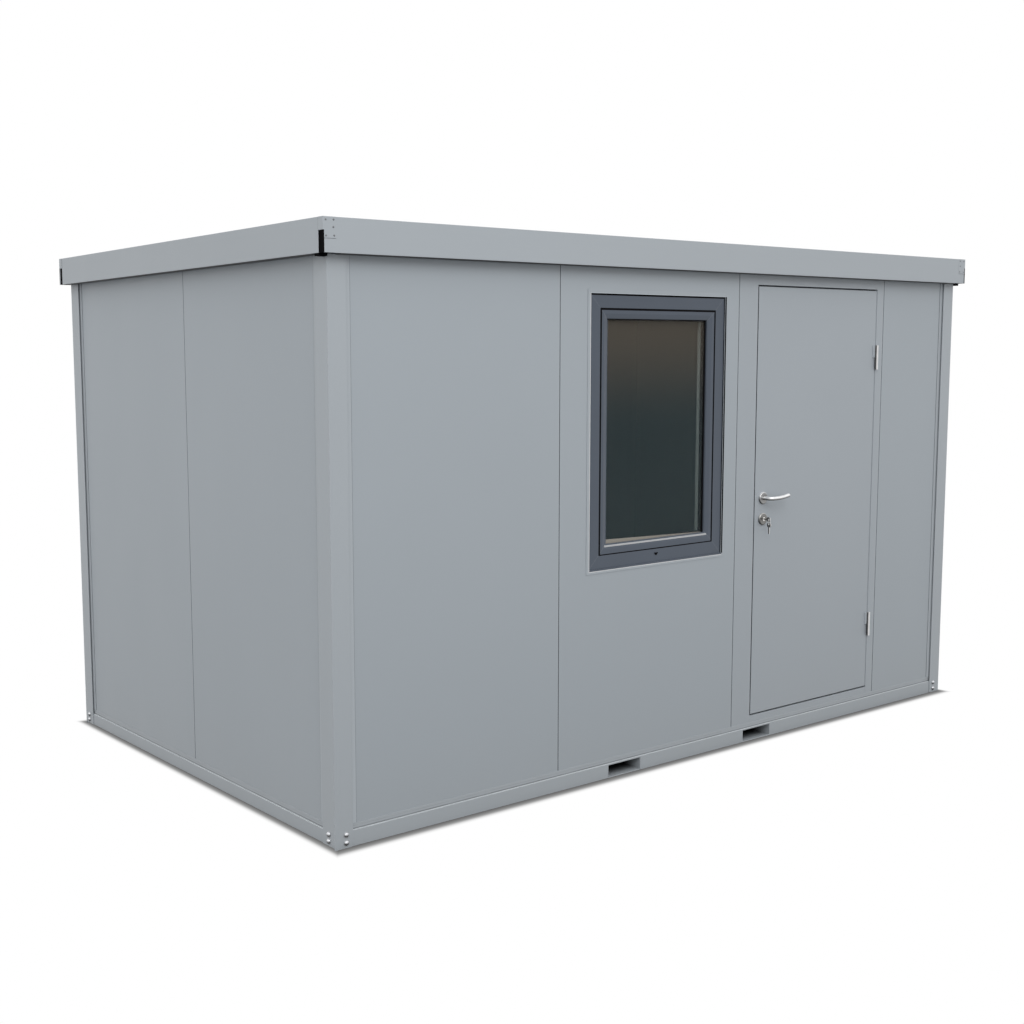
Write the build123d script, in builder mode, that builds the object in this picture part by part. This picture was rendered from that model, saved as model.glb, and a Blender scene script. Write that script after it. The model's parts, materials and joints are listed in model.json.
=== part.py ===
"""A site office cabin: a steel base frame and corner posts, sandwich panel walls, a flush steel
door, one window and a flat ribbed roof behind a deep fascia.

Millimetres. The origin is on the ground under the middle of the cabin, +X runs along the front
to the right, the front faces -Y and +Z is up. Places on a wall are given as seen from outside:
along the wall from its left post, inwards from the post's outer face, and up from the ground.
"""

import os

from build123d import *

# Whole cabin
body_length = 3922.0
body_depth = 2265.0
total_height = 2304.5
cut_overrun = 20.0

# Corner posts
post_leg = 82.0
post_sheet = 3.0
post_inner_leg = 102.0
post_inner_sheet = 2.5
post_clearance = 0.3
post_foot_chamfer = 6.0

# Base rails
rail_height = 61.5
side_rail_lift = 8.5
rail_sheet = 3.0
rail_return = 30.0
rail_seat = 40.0
rail_lip_height = 24.0
rail_lip_sheet = 1.5
mitre_gap = 0.5

# Fork pockets and floor
pocket_spacing = 887.0
pocket_width = 195.0
pocket_sheet = 3.0
pocket_clearance = 0.3
joist_width = 60.0
joist_sheet = 3.0
joist_place_shares = (0.12, 0.24, 0.5, 0.76, 0.88)
floor_panel_thickness = 43.0
floor_board_thickness = 12.0
floor_clearance = 0.5

# Wall panels
panel_recess = 10.0
panel_thickness = 60.0
panel_gap = 1.0
panel_bevel = 2.0
tongue_width = 20.0
tongue_depth = 12.0
tongue_clearance = 0.5
butt_clearance = 0.3
panel_module = 1100.0
narrow_panel_width = 592.0
side_joint = 1114.0

# Roof and fascia
fascia_overhang = 39.0
fascia_height = 124.0
fascia_sheet = 2.0
fascia_top_flange = 60.0
fascia_top_lip = 12.0
roof_thickness = 60.0
roof_clearance = 4.0
roof_panel_count = 4
roof_ribs_per_panel = 4
rib_height = 20.0
rib_crest = 30.0
rib_foot = 70.0
bracket_sheet = 1.5
bracket_front_leg = 58.0
bracket_end_leg = 30.0
bracket_front_height = 77.0
bracket_end_height = 46.0
drain_drop = 10.0
drain_clearance = 0.5
drain_spout_front = 7.0
drain_spout_back = 20.0
drain_spout_height = 40.0

# Door
lock_jamb_width = 130.0
head_show = 46.0
leaf_width = 900.0
leaf_foot = 123.5
leaf_thickness = 46.0
leaf_chamfer = 1.5
leaf_gap = 7.0
stop_clearance = 6.0
stop_cover = 15.0
hinge_rise = 325.0
hinge_drop = 328.0
hinge_length = 120.0
hinge_radius = 8.0
hinge_pin_radius = 4.0
hinge_pin_length = 48.0
hinge_pin_clearance = 0.3
hinge_seat_clearance = 0.3
hinge_lug_width = 18.0
hinge_lug_thickness = 4.0

# Lever, roses and lock
lever_backset = 55.0
lever_height = 1150.5
lever_radius = 9.0
lever_projection = 55.0
lever_reach = 134.0
lever_bend = 22.0
lever_return = 6.0
lever_rise = 9.5
lever_tip_chamfer = 3.0
lever_seat_clearance = 0.3
spindle_size = 8.0
spindle_hole_radius = 6.0
rose_radius = 28.0
rose_thickness = 9.0
rose_chamfer = 2.0
rose_clearance = 0.5
lock_drop = 98.0
cylinder_radius = 8.5
cylinder_proud = 2.0
cylinder_clearance = 0.3
key_sheet = 2.4
key_stem = 7.0
key_stem_length = 15.0
key_bow_radius = 11.0
key_hole_radius = 3.5
key_blade_length = 30.0
key_ring_radius = 8.5
key_ring_wire = 1.6
key_ring_clearance = 0.2

# Window
window_inset = 170.0
window_drop = 107.0
window_width = 834.0
window_height = 1155.0
window_recess = 3.5
trim_face = 17.0
trim_sheet = 2.0
trim_clearance = 1.0
frame_face = 60.5
frame_depth = 66.0
frame_lip_depth = 20.0
frame_rebate = 10.0
sash_gap = 6.0
sash_face = 36.5
sash_setback = 0.5
sash_slope_width = 20.0
sash_slope_depth = 6.0
sash_seat_clearance = 0.3
glass_thickness = 4.0
glass_space = 16.0
glass_cover = 12.0
glass_setback = 17.0
glass_clearance = 0.3
spacer_width = 6.0
inner_trim_face = 40.0
window_handle_plate = (28.0, 66.0, 9.0)
window_handle_neck_radius = 7.0
window_handle_neck = 30.0
window_handle_grip = (18.0, 125.0, 12.0)

# Levels and lines worked out from the sizes above
fascia_bottom = total_height - fascia_height
roof_crest = total_height - fascia_top_lip - roof_clearance
panel_top = roof_crest - rib_height - roof_thickness
third_joint = body_length - narrow_panel_width
second_joint = third_joint - panel_module
first_joint = second_joint - panel_module
front_joints = (first_joint, second_joint, third_joint)
wall_inside = panel_recess + panel_thickness
wall_middle = panel_recess + panel_thickness / 2
panel_height = panel_top - rail_height
floor_panel_top = rail_height + floor_panel_thickness
floor_top = floor_panel_top + floor_board_thickness
door_left = second_joint + lock_jamb_width
door_top = fascia_bottom - head_show
leaf_start = door_left + leaf_gap
leaf_end = leaf_start + leaf_width
leaf_top = door_top - leaf_gap
leaf_height = leaf_top - leaf_foot
leaf_back = panel_recess + leaf_thickness
door_right = leaf_end + leaf_gap
door_bottom = leaf_foot - leaf_gap
stop_face = leaf_back + stop_clearance
hinge_heights = (leaf_foot + hinge_rise, leaf_top - hinge_drop)
hinge_axis_along = leaf_end + leaf_gap / 2
hinge_axis_in = panel_recess - hinge_radius - hinge_seat_clearance
lever_along = leaf_start + lever_backset
lock_height = lever_height - lock_drop
window_start = first_joint + window_inset
window_foot = fascia_bottom - window_drop - window_height
glass_front = panel_recess + window_recess + glass_setback
glass_pack = 2 * glass_thickness + glass_space

LOW_CORNER = (Align.MIN, Align.MIN, Align.MIN)
ON_LOW_Z = (Align.CENTER, Align.CENTER, Align.MIN)

WALLS = {
    "front": Plane((-body_length / 2, -body_depth / 2, 0), x_dir=(1, 0, 0), z_dir=(0, 0, 1)),
    "right": Plane((body_length / 2, -body_depth / 2, 0), x_dir=(0, 1, 0), z_dir=(0, 0, 1)),
    "rear": Plane((body_length / 2, body_depth / 2, 0), x_dir=(-1, 0, 0), z_dir=(0, 0, 1)),
    "left": Plane((-body_length / 2, body_depth / 2, 0), x_dir=(0, -1, 0), z_dir=(0, 0, 1)),
}
WALL_LENGTHS = {
    "front": body_length,
    "right": body_depth,
    "rear": body_length,
    "left": body_depth,
}


def section_plane(wall: str) -> Plane:
    """The plane across a wall's left end: its x runs inwards, its y up, its normal along the wall."""
    frame = WALLS[wall]
    return Plane(frame.origin, x_dir=frame.y_dir, z_dir=frame.x_dir)


def elevation_plane(inwards: float) -> Plane:
    """A plane facing out of the front wall, with its x along the wall and its y up."""
    return Plane(WALLS["front"].origin + WALLS["front"].y_dir * inwards, x_dir=(1, 0, 0), z_dir=(0, -1, 0))


def front_point(along: float, inwards: float, up: float) -> Vector:
    """A place on the front wall, as a point of the whole cabin."""
    return WALLS["front"].from_local_coords(Vector(along, inwards, up))


def mitre_planes(wall: str) -> tuple[Plane, Plane]:
    """The two upright planes at 45 degrees that trim a length of sheet at a wall's corners."""
    frame = WALLS[wall]
    left_normal = (frame.x_dir - frame.y_dir).normalized()
    right_normal = (-frame.x_dir - frame.y_dir).normalized()
    far_corner = frame.origin + frame.x_dir * WALL_LENGTHS[wall]
    return (
        Plane(frame.origin + left_normal * (mitre_gap / 2), z_dir=left_normal),
        Plane(far_corner + right_normal * (mitre_gap / 2), z_dir=right_normal),
    )


def write(part: Part, name: str) -> None:
    """Label a finished piece and write it as its own file."""
    part.label = name
    export_step(part, f"parts/{name}.step")


def block(low: tuple, high: tuple) -> Part:
    """A plain slab between two corners given in the front wall's own measure."""
    with BuildPart() as slab:
        with Locations(front_point(*low)):
            Box(high[0] - low[0], high[1] - low[1], high[2] - low[2], align=LOW_CORNER)
    return slab.part


def base_rail(wall: str) -> Part:
    """A folded base rail: web, bottom return, seat for wall and floor, and a lip before the panels. The
    side rails stop short of the ground."""
    web_in = post_sheet + rail_sheet
    lip_out = panel_recess - rail_lip_sheet
    upstand_in = wall_inside + rail_sheet
    seat_end = upstand_in + rail_seat
    lip_top = rail_height + rail_lip_height
    foot = side_rail_lift if wall in ("left", "right") else 0
    with BuildPart() as rail:
        with BuildSketch(section_plane(wall)):
            with BuildLine():
                Polyline(
                    (post_sheet, foot),
                    (post_sheet, rail_height),
                    (lip_out, rail_height),
                    (lip_out, lip_top),
                    (panel_recess, lip_top),
                    (panel_recess, rail_height),
                    (wall_inside, rail_height),
                    (wall_inside, floor_panel_top),
                    (upstand_in, floor_panel_top),
                    (upstand_in, rail_height),
                    (seat_end, rail_height),
                    (seat_end, rail_height - rail_sheet),
                    (web_in, rail_height - rail_sheet),
                    (web_in, foot + rail_sheet),
                    (post_sheet + rail_return, foot + rail_sheet),
                    (post_sheet + rail_return, foot),
                    close=True,
                )
            make_face()
        extrude(amount=WALL_LENGTHS[wall])
        for plane in mitre_planes(wall):
            split(bisect_by=plane, keep=Keep.TOP)
        if wall in ("front", "rear"):
            pocket_depth = post_sheet + rail_return + cut_overrun
            pocket_outer = pocket_width + 2 * (pocket_sheet + pocket_clearance)
            with Locations(WALLS[wall]):
                with Locations((body_length / 2, 0, 0)):
                    with GridLocations(pocket_spacing, 0, 2, 1):
                        Box(
                            pocket_outer,
                            2 * pocket_depth,
                            2 * (rail_height - rail_sheet),
                            mode=Mode.SUBTRACT,
                        )
    return rail.part


def fork_pockets() -> Part:
    """Two flat tubes under the floor, open at the front and the rear for a lift truck's forks."""
    outer_height = rail_height - rail_sheet
    outer_width = pocket_width + 2 * pocket_sheet
    with BuildPart() as pockets:
        with BuildSketch(Plane.XZ.offset(-body_depth / 2 + post_sheet)):
            with Locations((0, outer_height / 2)):
                with GridLocations(pocket_spacing, 0, 2, 1):
                    Rectangle(outer_width, outer_height)
                    Rectangle(pocket_width, outer_height - 2 * pocket_sheet, mode=Mode.SUBTRACT)
        extrude(amount=body_depth - 2 * post_sheet)
    return pockets.part


def floor_joists() -> Part:
    """Box joists across the cabin, welded between the seats of the front and rear rails."""
    joist_end = wall_inside + rail_sheet + rail_seat
    joist_height = rail_height - rail_sheet
    level = rail_sheet + joist_height / 2
    places = [((share - 1 / 2) * body_length, level) for share in joist_place_shares]
    with BuildPart() as joists:
        with BuildSketch(Plane.XZ.offset(-body_depth / 2 + joist_end)):
            with Locations(*places):
                Rectangle(joist_width, joist_height)
                Rectangle(joist_width - 2 * joist_sheet, joist_height - 2 * joist_sheet, mode=Mode.SUBTRACT)
        extrude(amount=body_depth - 2 * joist_end)
    return joists.part


def floor_slab(edge: float, bottom: float, top: float) -> Part:
    """A layer of the floor, held back from the outside of the posts by its edge distance."""
    inset = edge + floor_clearance
    return block((inset, inset, bottom), (body_length - inset, body_depth - inset, top))


def corner_post(wall: str) -> Part:
    """A double angle post at a wall's left end: an outer angle to the ground and, welded into its
    corner, a wider inner angle that the wall panels bear on."""
    inner_face = panel_recess - post_inner_sheet
    inner_foot = rail_height + rail_lip_height + post_clearance
    with BuildPart() as post:
        with BuildSketch(WALLS[wall]):
            with BuildLine():
                Polyline(
                    (0, 0),
                    (post_leg, 0),
                    (post_leg, post_sheet),
                    (post_sheet, post_sheet),
                    (post_sheet, post_leg),
                    (0, post_leg),
                    close=True,
                )
            make_face()
        extrude(amount=fascia_bottom)
        foot = post.faces().sort_by(Axis.Z)[0]
        free_ends = [
            edge
            for edge in post.edges().filter_by(Axis.Z, reverse=True)
            if edge.length < 2 * post_sheet and edge.center().Z < foot.center().Z + post_sheet
        ]
        chamfer(free_ends, post_foot_chamfer)
        side_leg = (post_sheet, post_leg) if wall in ("front", "rear") else (post_leg, post_sheet)
        side_start = (-cut_overrun, post_sheet) if wall in ("front", "rear") else (post_sheet, -cut_overrun)
        with Locations(WALLS[wall]):
            with Locations((*side_start, -cut_overrun)):
                Box(
                    side_leg[0] - side_start[0],
                    side_leg[1] - side_start[1],
                    cut_overrun + side_rail_lift,
                    align=LOW_CORNER,
                    mode=Mode.SUBTRACT,
                )
        with BuildSketch(WALLS[wall].offset(inner_foot)):
            with BuildLine():
                Polyline(
                    (inner_face, inner_face),
                    (post_inner_leg, inner_face),
                    (post_inner_leg, panel_recess),
                    (panel_recess, panel_recess),
                    (panel_recess, post_inner_leg),
                    (inner_face, post_inner_leg),
                    close=True,
                )
            make_face()
            with Locations((post_sheet, post_sheet)):
                web = panel_recess - post_sheet
                Rectangle(web, web, align=(Align.MIN, Align.MIN))
        extrude(amount=fascia_bottom - post_clearance - inner_foot)
    return post.part


def panel_edge(along: float, outwards: int, kind: str) -> list[tuple]:
    """Plan points of a panel's edge from outer to inner face: square, plain, tongue or groove."""
    if kind == "square":
        return [(along, panel_recess), (along, wall_inside)]
    shoulder = along - outwards * panel_bevel
    points = [(shoulder, panel_recess), (along, panel_recess + panel_bevel)]
    if kind == "tongue":
        half, reach = tongue_width / 2, along + outwards * tongue_depth
    else:
        half = tongue_width / 2 + tongue_clearance
        reach = along - outwards * (tongue_depth + tongue_clearance)
    if kind != "plain":
        points += [
            (along, wall_middle - half),
            (reach, wall_middle - half),
            (reach, wall_middle + half),
            (along, wall_middle + half),
        ]
    return points + [(along, wall_inside - panel_bevel), (shoulder, wall_inside)]


def wall_panel(wall: str, start: float, end: float, start_edge: str, end_edge: str) -> Part:
    """One sandwich panel standing on a rail, with its two upright edges shaped to its neighbours."""
    outline = panel_edge(end, 1, end_edge) + panel_edge(start, -1, start_edge)[::-1]
    with BuildPart() as panel:
        with BuildSketch(WALLS[wall].offset(rail_height)):
            with BuildLine():
                Polyline(*outline, close=True)
            make_face()
        extrude(amount=panel_height)
    return panel.part


def window_panel(start: float, end: float) -> Part:
    """The front panel that the window is cut through."""
    room = trim_sheet + trim_clearance
    with BuildPart() as panel:
        add(wall_panel("front", start, end, "groove", "plain"))
        with Locations(front_point(window_start - room, panel_recess - cut_overrun, window_foot - room)):
            Box(
                window_width + 2 * room,
                panel_thickness + 2 * cut_overrun,
                window_height + 2 * room,
                align=LOW_CORNER,
                mode=Mode.SUBTRACT,
            )
    return panel.part


def door_jamb(outer: float, inner: float) -> Part:
    """An upright of the door frame from its panel joint to the door gap, with a stop behind the leaf."""
    towards_door = 1 if inner > outer else -1
    seam = outer + towards_door * panel_gap / 2
    shoulder = seam + towards_door * panel_bevel
    stop_end = inner + towards_door * stop_cover
    with BuildPart() as jamb:
        with BuildSketch(WALLS["front"].offset(rail_height)):
            with BuildLine():
                Polyline(
                    (shoulder, panel_recess),
                    (inner, panel_recess),
                    (inner, wall_inside),
                    (shoulder, wall_inside),
                    (seam, wall_inside - panel_bevel),
                    (seam, panel_recess + panel_bevel),
                    close=True,
                )
            make_face()
        extrude(amount=panel_height)
        with Locations(front_point(min(inner, stop_end), stop_face, door_bottom)):
            Box(stop_cover, wall_inside - stop_face, door_top - door_bottom, align=LOW_CORNER)
    return jamb.part


def door_crosspiece(bottom: float, top: float, stop_bottom: float) -> Part:
    """A level member of the door frame between the jambs, with its share of the stop."""
    with BuildPart() as member:
        with Locations(front_point(door_left, panel_recess, bottom)):
            Box(leaf_width + 2 * leaf_gap, panel_thickness, top - bottom, align=LOW_CORNER)
        with Locations(front_point(door_left + stop_cover, stop_face, stop_bottom)):
            Box(
                leaf_width + 2 * (leaf_gap - stop_cover),
                wall_inside - stop_face,
                stop_cover,
                align=LOW_CORNER,
            )
    return member.part


def door_leaf() -> Part:
    """The flush leaf, with its bores for the lever's spindle and the lock cylinder."""
    with BuildPart() as leaf:
        with Locations(front_point(leaf_start, panel_recess, leaf_foot)):
            Box(leaf_width, leaf_thickness, leaf_height, align=LOW_CORNER)
        chamfer(leaf.faces().sort_by(Axis.Y)[0].edges(), leaf_chamfer)
        chamfer(leaf.faces().sort_by(Axis.Y)[-1].edges(), leaf_chamfer)
        with BuildSketch(elevation_plane(leaf_back)):
            with Locations((lever_along, lever_height)):
                Circle(spindle_hole_radius)
            with Locations((lever_along, lock_height)):
                Circle(cylinder_radius + cylinder_clearance)
        extrude(amount=leaf_thickness, mode=Mode.SUBTRACT)
    return leaf.part


def hinge_halves(on_leaf: bool) -> Part:
    """The lower, pinned barrels welded to the jamb, or the upper, bored barrels welded to the leaf."""
    half_length = hinge_length / 2
    lug_out = panel_recess - hinge_lug_thickness
    lug_start = leaf_end - hinge_lug_width if on_leaf else hinge_axis_along
    lug_end = hinge_axis_along if on_leaf else door_right + hinge_lug_width
    with BuildPart() as halves:
        for middle in hinge_heights:
            seam = hinge_seat_clearance / 2
            foot = middle + seam if on_leaf else middle - half_length
            length = half_length - seam
            with Locations(front_point(hinge_axis_along, hinge_axis_in, foot)):
                Cylinder(hinge_radius, length, align=ON_LOW_Z)
            with Locations(front_point(lug_start, lug_out, foot)):
                Box(lug_end - lug_start, hinge_lug_thickness, length, align=LOW_CORNER)
            pin_foot = front_point(hinge_axis_along, hinge_axis_in, middle - seam)
            with Locations(pin_foot):
                if on_leaf:
                    Cylinder(
                        hinge_pin_radius + hinge_pin_clearance,
                        hinge_pin_length + seam + hinge_pin_clearance,
                        align=ON_LOW_Z,
                        mode=Mode.SUBTRACT,
                    )
                else:
                    Cylinder(hinge_pin_radius, hinge_pin_length, align=ON_LOW_Z)
    return halves.part


def lever_handle() -> Part:
    """Lever outside, spindle through the leaf and lever inside, as one turning piece."""
    outside = panel_recess - lever_projection
    inside = leaf_back + lever_projection
    with BuildPart() as lever:
        outside_seat = panel_recess - lever_seat_clearance
        inside_seat = leaf_back + lever_seat_clearance
        for face, grip, leafwards in ((outside_seat, outside, 1), (inside_seat, inside, -1)):
            seat = front_point(lever_along, face, lever_height)
            elbow = front_point(lever_along, grip, lever_height)
            tip_in = grip + leafwards * lever_return
            tip = front_point(lever_along + lever_reach, tip_in, lever_height + lever_rise)
            with BuildLine() as path:
                FilletPolyline(seat, elbow, tip, radius=lever_bend)
            with BuildSketch(Plane(seat, z_dir=elbow - seat)):
                Circle(lever_radius)
            sweep(path=path.wire())
        chamfer(lever.faces().group_by(Axis.X)[-1].edges(), lever_tip_chamfer)
        with Locations(front_point(lever_along, panel_recess + leaf_thickness / 2, lever_height)):
            Box(spindle_size, inside_seat - outside_seat, spindle_size)
    return lever.part


def roses(height: float, bore: float) -> Part:
    """Round cover roses about the lever or the lock: a chamfered one outside, a plain one inside."""
    with BuildPart() as pair:
        for plane in (elevation_plane(panel_recess), elevation_plane(leaf_back + rose_thickness)):
            with BuildSketch(plane):
                with Locations((lever_along, height)):
                    Circle(rose_radius)
                    Circle(bore, mode=Mode.SUBTRACT)
            extrude(amount=rose_thickness)
        outer_face = pair.faces().sort_by(Axis.Y)[0]
        chamfer(outer_face.edges().sort_by(SortBy.RADIUS)[-1], rose_chamfer)
    return pair.part


def lock_cylinder() -> Part:
    """The round lock cylinder through the leaf and both roses."""
    reach = rose_thickness + cylinder_proud
    with BuildPart() as cylinder:
        with BuildSketch(elevation_plane(leaf_back + reach)):
            with Locations((lever_along, lock_height)):
                Circle(cylinder_radius)
        extrude(amount=leaf_thickness + 2 * reach)
    return cylinder.part


def key_plate(bow_in: float, bow_up: float, hole_in: float, hole_up: float, stem: tuple) -> Part:
    """A flat key, edge on to the door: a round bow with a hole, and a stem given by its two corners."""
    (stem_in, stem_up), (stem_end, stem_top) = stem
    key_plane = Plane(front_point(lever_along, 0, 0), x_dir=(0, 1, 0), z_dir=(1, 0, 0))
    with BuildPart() as key:
        with BuildSketch(key_plane):
            with Locations((bow_in, bow_up)):
                Circle(key_bow_radius)
            with Locations(((stem_in + stem_end) / 2, (stem_up + stem_top) / 2)):
                Rectangle(stem_end - stem_in, stem_top - stem_up)
            with Locations((hole_in, hole_up)):
                Circle(key_hole_radius, mode=Mode.SUBTRACT)
        extrude(amount=key_sheet / 2, both=True)
    return key.part


def door_key() -> Part:
    """The key in the outside of the lock, a ring through its bow and a second key hanging from it."""
    face = panel_recess - rose_thickness - cylinder_proud
    bow_in = face - key_stem_length - key_bow_radius
    hole_offset = key_bow_radius - 2 * key_hole_radius
    hole_in = bow_in - hole_offset
    half_stem = key_stem / 2
    ring_inner = key_ring_radius - key_ring_wire / 2
    ring_hang = ring_inner + key_hole_radius - key_ring_clearance
    ring_up = lock_height - ring_hang
    hung_hole = ring_up - ring_hang
    hung_bow = hung_hole - hole_offset
    hung_end = hung_bow - key_bow_radius - key_blade_length
    with BuildPart() as keys:
        add(
            key_plate(
                bow_in,
                lock_height,
                hole_in,
                lock_height,
                ((bow_in, lock_height - half_stem), (face, lock_height + half_stem)),
            )
        )
        add(
            key_plate(
                hole_in,
                hung_bow,
                hole_in,
                hung_hole,
                ((hole_in - half_stem, hung_end), (hole_in + half_stem, hung_bow)),
            )
        )
        with BuildSketch(elevation_plane(hole_in + key_ring_wire / 2)):
            with Locations((lever_along, ring_up)):
                Circle(ring_inner + key_ring_wire)
                Circle(ring_inner, mode=Mode.SUBTRACT)
        extrude(amount=key_ring_wire)
    return keys.part


def ring(inwards: float, depth: float, outer: float, inner: float) -> Part:
    """A rectangular ring about the window, its rims measured outwards from the visible opening."""
    middle = (window_start + window_width / 2, window_foot + window_height / 2)
    with BuildPart() as hoop:
        with BuildSketch(elevation_plane(inwards + depth)):
            with Locations(middle):
                Rectangle(window_width + 2 * outer, window_height + 2 * outer)
                Rectangle(window_width + 2 * inner, window_height + 2 * inner, mode=Mode.SUBTRACT)
        extrude(amount=depth)
    return hoop.part


def window_trim() -> Part:
    """The outside cover strip: a flat face on the panel and a return into the opening."""
    with BuildPart() as trim:
        add(ring(panel_recess - trim_sheet, trim_sheet, trim_face, 0))
        add(ring(panel_recess - trim_sheet, trim_sheet + window_recess, trim_sheet, 0))
    return trim.part


def window_frame() -> Part:
    """The fixed frame, with a front lip that the sash closes against from inside."""
    face = panel_recess + window_recess
    with BuildPart() as frame:
        add(ring(face, frame_depth, trim_sheet, frame_rebate - frame_face))
        add(ring(face, frame_lip_depth, trim_sheet, -frame_face))
    return frame.part


def window_sash() -> Part:
    """The opening sash: a sloped front rim, a flange behind the frame's lip and a groove for the glass."""
    face = panel_recess + window_recess
    front = face + sash_setback
    lip_back = face + frame_lip_depth + sash_seat_clearance
    rim = -frame_face - sash_gap
    flange = rim + frame_rebate
    sight = rim - sash_face
    groove = sight + glass_cover + glass_clearance
    with BuildPart() as sash:
        add(ring(front, face + frame_depth - front, rim, sight))
        add(ring(lip_back, face + frame_depth - lip_back, flange, sight))
        front_face = sash.faces().sort_by(Axis.Y)[0]
        chamfer(front_face.inner_wires()[0].edges(), sash_slope_width, sash_slope_depth, reference=front_face)
        groove_front = glass_front - glass_clearance
        groove_depth = glass_pack + 2 * glass_clearance
        add(ring(groove_front, groove_depth, groove, sight - cut_overrun), mode=Mode.SUBTRACT)
    return sash.part


def window_glass() -> Part:
    """The two panes of the double glazing."""
    size = sash_face - glass_cover
    width = window_width - 2 * (frame_face + sash_gap + size)
    height = window_height - 2 * (frame_face + sash_gap + size)
    middle = (window_start + window_width / 2, window_foot + window_height / 2)
    with BuildPart() as glass:
        for front in (glass_front, glass_front + glass_thickness + glass_space):
            with BuildSketch(elevation_plane(front + glass_thickness)):
                with Locations(middle):
                    Rectangle(width, height)
            extrude(amount=glass_thickness)
    return glass.part


def glazing_spacer() -> Part:
    """The spacer bar between the panes, just showing inside the sash."""
    rim = -frame_face - sash_gap - sash_face + glass_cover
    return ring(glass_front + glass_thickness, glass_space, rim, rim - spacer_width - glass_cover)


def window_handle() -> Part:
    """The turn handle on the inside of the sash."""
    sash_back = panel_recess + window_recess + frame_depth
    along = window_start + frame_face + sash_gap + sash_face / 2
    height = window_foot + window_height / 2
    plate_width, plate_height, plate_depth = window_handle_plate
    grip_width, grip_length, grip_depth = window_handle_grip
    with BuildPart() as handle:
        with BuildSketch(elevation_plane(sash_back + plate_depth)):
            with Locations((along, height)):
                RectangleRounded(plate_width, plate_height, window_handle_neck_radius)
        extrude(amount=plate_depth)
        with BuildSketch(elevation_plane(sash_back + window_handle_neck)):
            with Locations((along, height)):
                Circle(window_handle_neck_radius)
        extrude(amount=window_handle_neck - plate_depth)
        with BuildSketch(elevation_plane(sash_back + window_handle_neck + grip_depth)):
            with Locations((along, height - grip_length / 2 + grip_width / 2)):
                SlotOverall(grip_length, grip_width, rotation=90)
        extrude(amount=grip_depth)
    return handle.part


def fascia(wall: str) -> Part:
    """A folded roof edge: web, bottom flange to the wall and top flange with a lip, mitred at the ends."""
    web_in = fascia_sheet - fascia_overhang
    top_end = fascia_top_flange - fascia_overhang
    with BuildPart() as edge:
        with BuildSketch(section_plane(wall).offset(-fascia_overhang)):
            with BuildLine():
                Polyline(
                    (-fascia_overhang, fascia_bottom),
                    (panel_recess, fascia_bottom),
                    (panel_recess, fascia_bottom + fascia_sheet),
                    (web_in, fascia_bottom + fascia_sheet),
                    (web_in, total_height - fascia_sheet),
                    (top_end - fascia_sheet, total_height - fascia_sheet),
                    (top_end - fascia_sheet, total_height - fascia_top_lip),
                    (top_end, total_height - fascia_top_lip),
                    (top_end, total_height),
                    (-fascia_overhang, total_height),
                    close=True,
                )
            make_face()
        extrude(amount=WALL_LENGTHS[wall] + 2 * fascia_overhang)
        for plane in mitre_planes(wall):
            split(bisect_by=plane, keep=Keep.TOP)
        corner_holes = [(0, 0), (WALL_LENGTHS[wall], 0)]
        with Locations(WALLS[wall]):
            with Locations(*[(along, inwards, fascia_bottom) for along, inwards in corner_holes]):
                Box(
                    2 * (fascia_overhang - fascia_sheet),
                    2 * (fascia_overhang - fascia_sheet),
                    2 * fascia_sheet,
                    mode=Mode.SUBTRACT,
                )
        if wall in ("left", "right"):
            slot_height = fascia_height - bracket_end_height
            ends = [-fascia_overhang, WALL_LENGTHS[wall] + fascia_overhang]
            with Locations(WALLS[wall]):
                with Locations(*[(end, -fascia_overhang, fascia_bottom) for end in ends]):
                    Box(2 * bracket_end_leg, 2 * fascia_sheet, 2 * slot_height, mode=Mode.SUBTRACT)
    return edge.part


def corner_brackets() -> Part:
    """Four angle plates that tie the fascia together at the top of its corners."""
    outer = -fascia_overhang - bracket_sheet
    with BuildPart() as brackets:
        with BuildSketch(WALLS["front"].offset(total_height - bracket_front_height)):
            with BuildLine():
                Polyline(
                    (outer, outer),
                    (bracket_front_leg - fascia_overhang, outer),
                    (bracket_front_leg - fascia_overhang, -fascia_overhang),
                    (-fascia_overhang, -fascia_overhang),
                    (-fascia_overhang, bracket_end_leg - fascia_overhang),
                    (outer, bracket_end_leg - fascia_overhang),
                    close=True,
                )
            make_face()
        extrude(amount=bracket_front_height)
        with Locations(front_point(outer - cut_overrun, -fascia_overhang, 0)):
            Box(
                bracket_sheet + cut_overrun,
                bracket_end_leg + cut_overrun,
                total_height - bracket_end_height,
                align=LOW_CORNER,
                mode=Mode.SUBTRACT,
            )
        mirror(about=Plane.YZ)
        mirror(about=Plane.XZ)
    return brackets.part


def corner_drains() -> Part:
    """Four square gutter outlets in the fascia's corners; the front two end in a spout beside the post."""
    outer = fascia_sheet + drain_clearance - fascia_overhang
    side = -outer - drain_clearance
    with BuildPart() as drains:
        with Locations(front_point(outer, outer, fascia_bottom)):
            Box(side, side, fascia_height - bracket_end_height, align=LOW_CORNER)
        mirror(about=Plane.YZ)
        mirror(about=Plane.XZ)
        with Locations(front_point(outer, -drain_spout_front, fascia_bottom - drain_drop)):
            Box(
                side,
                drain_spout_front + drain_spout_back,
                drain_spout_height,
                align=LOW_CORNER,
            )
        mirror(about=Plane.YZ)
    return drains.part


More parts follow.
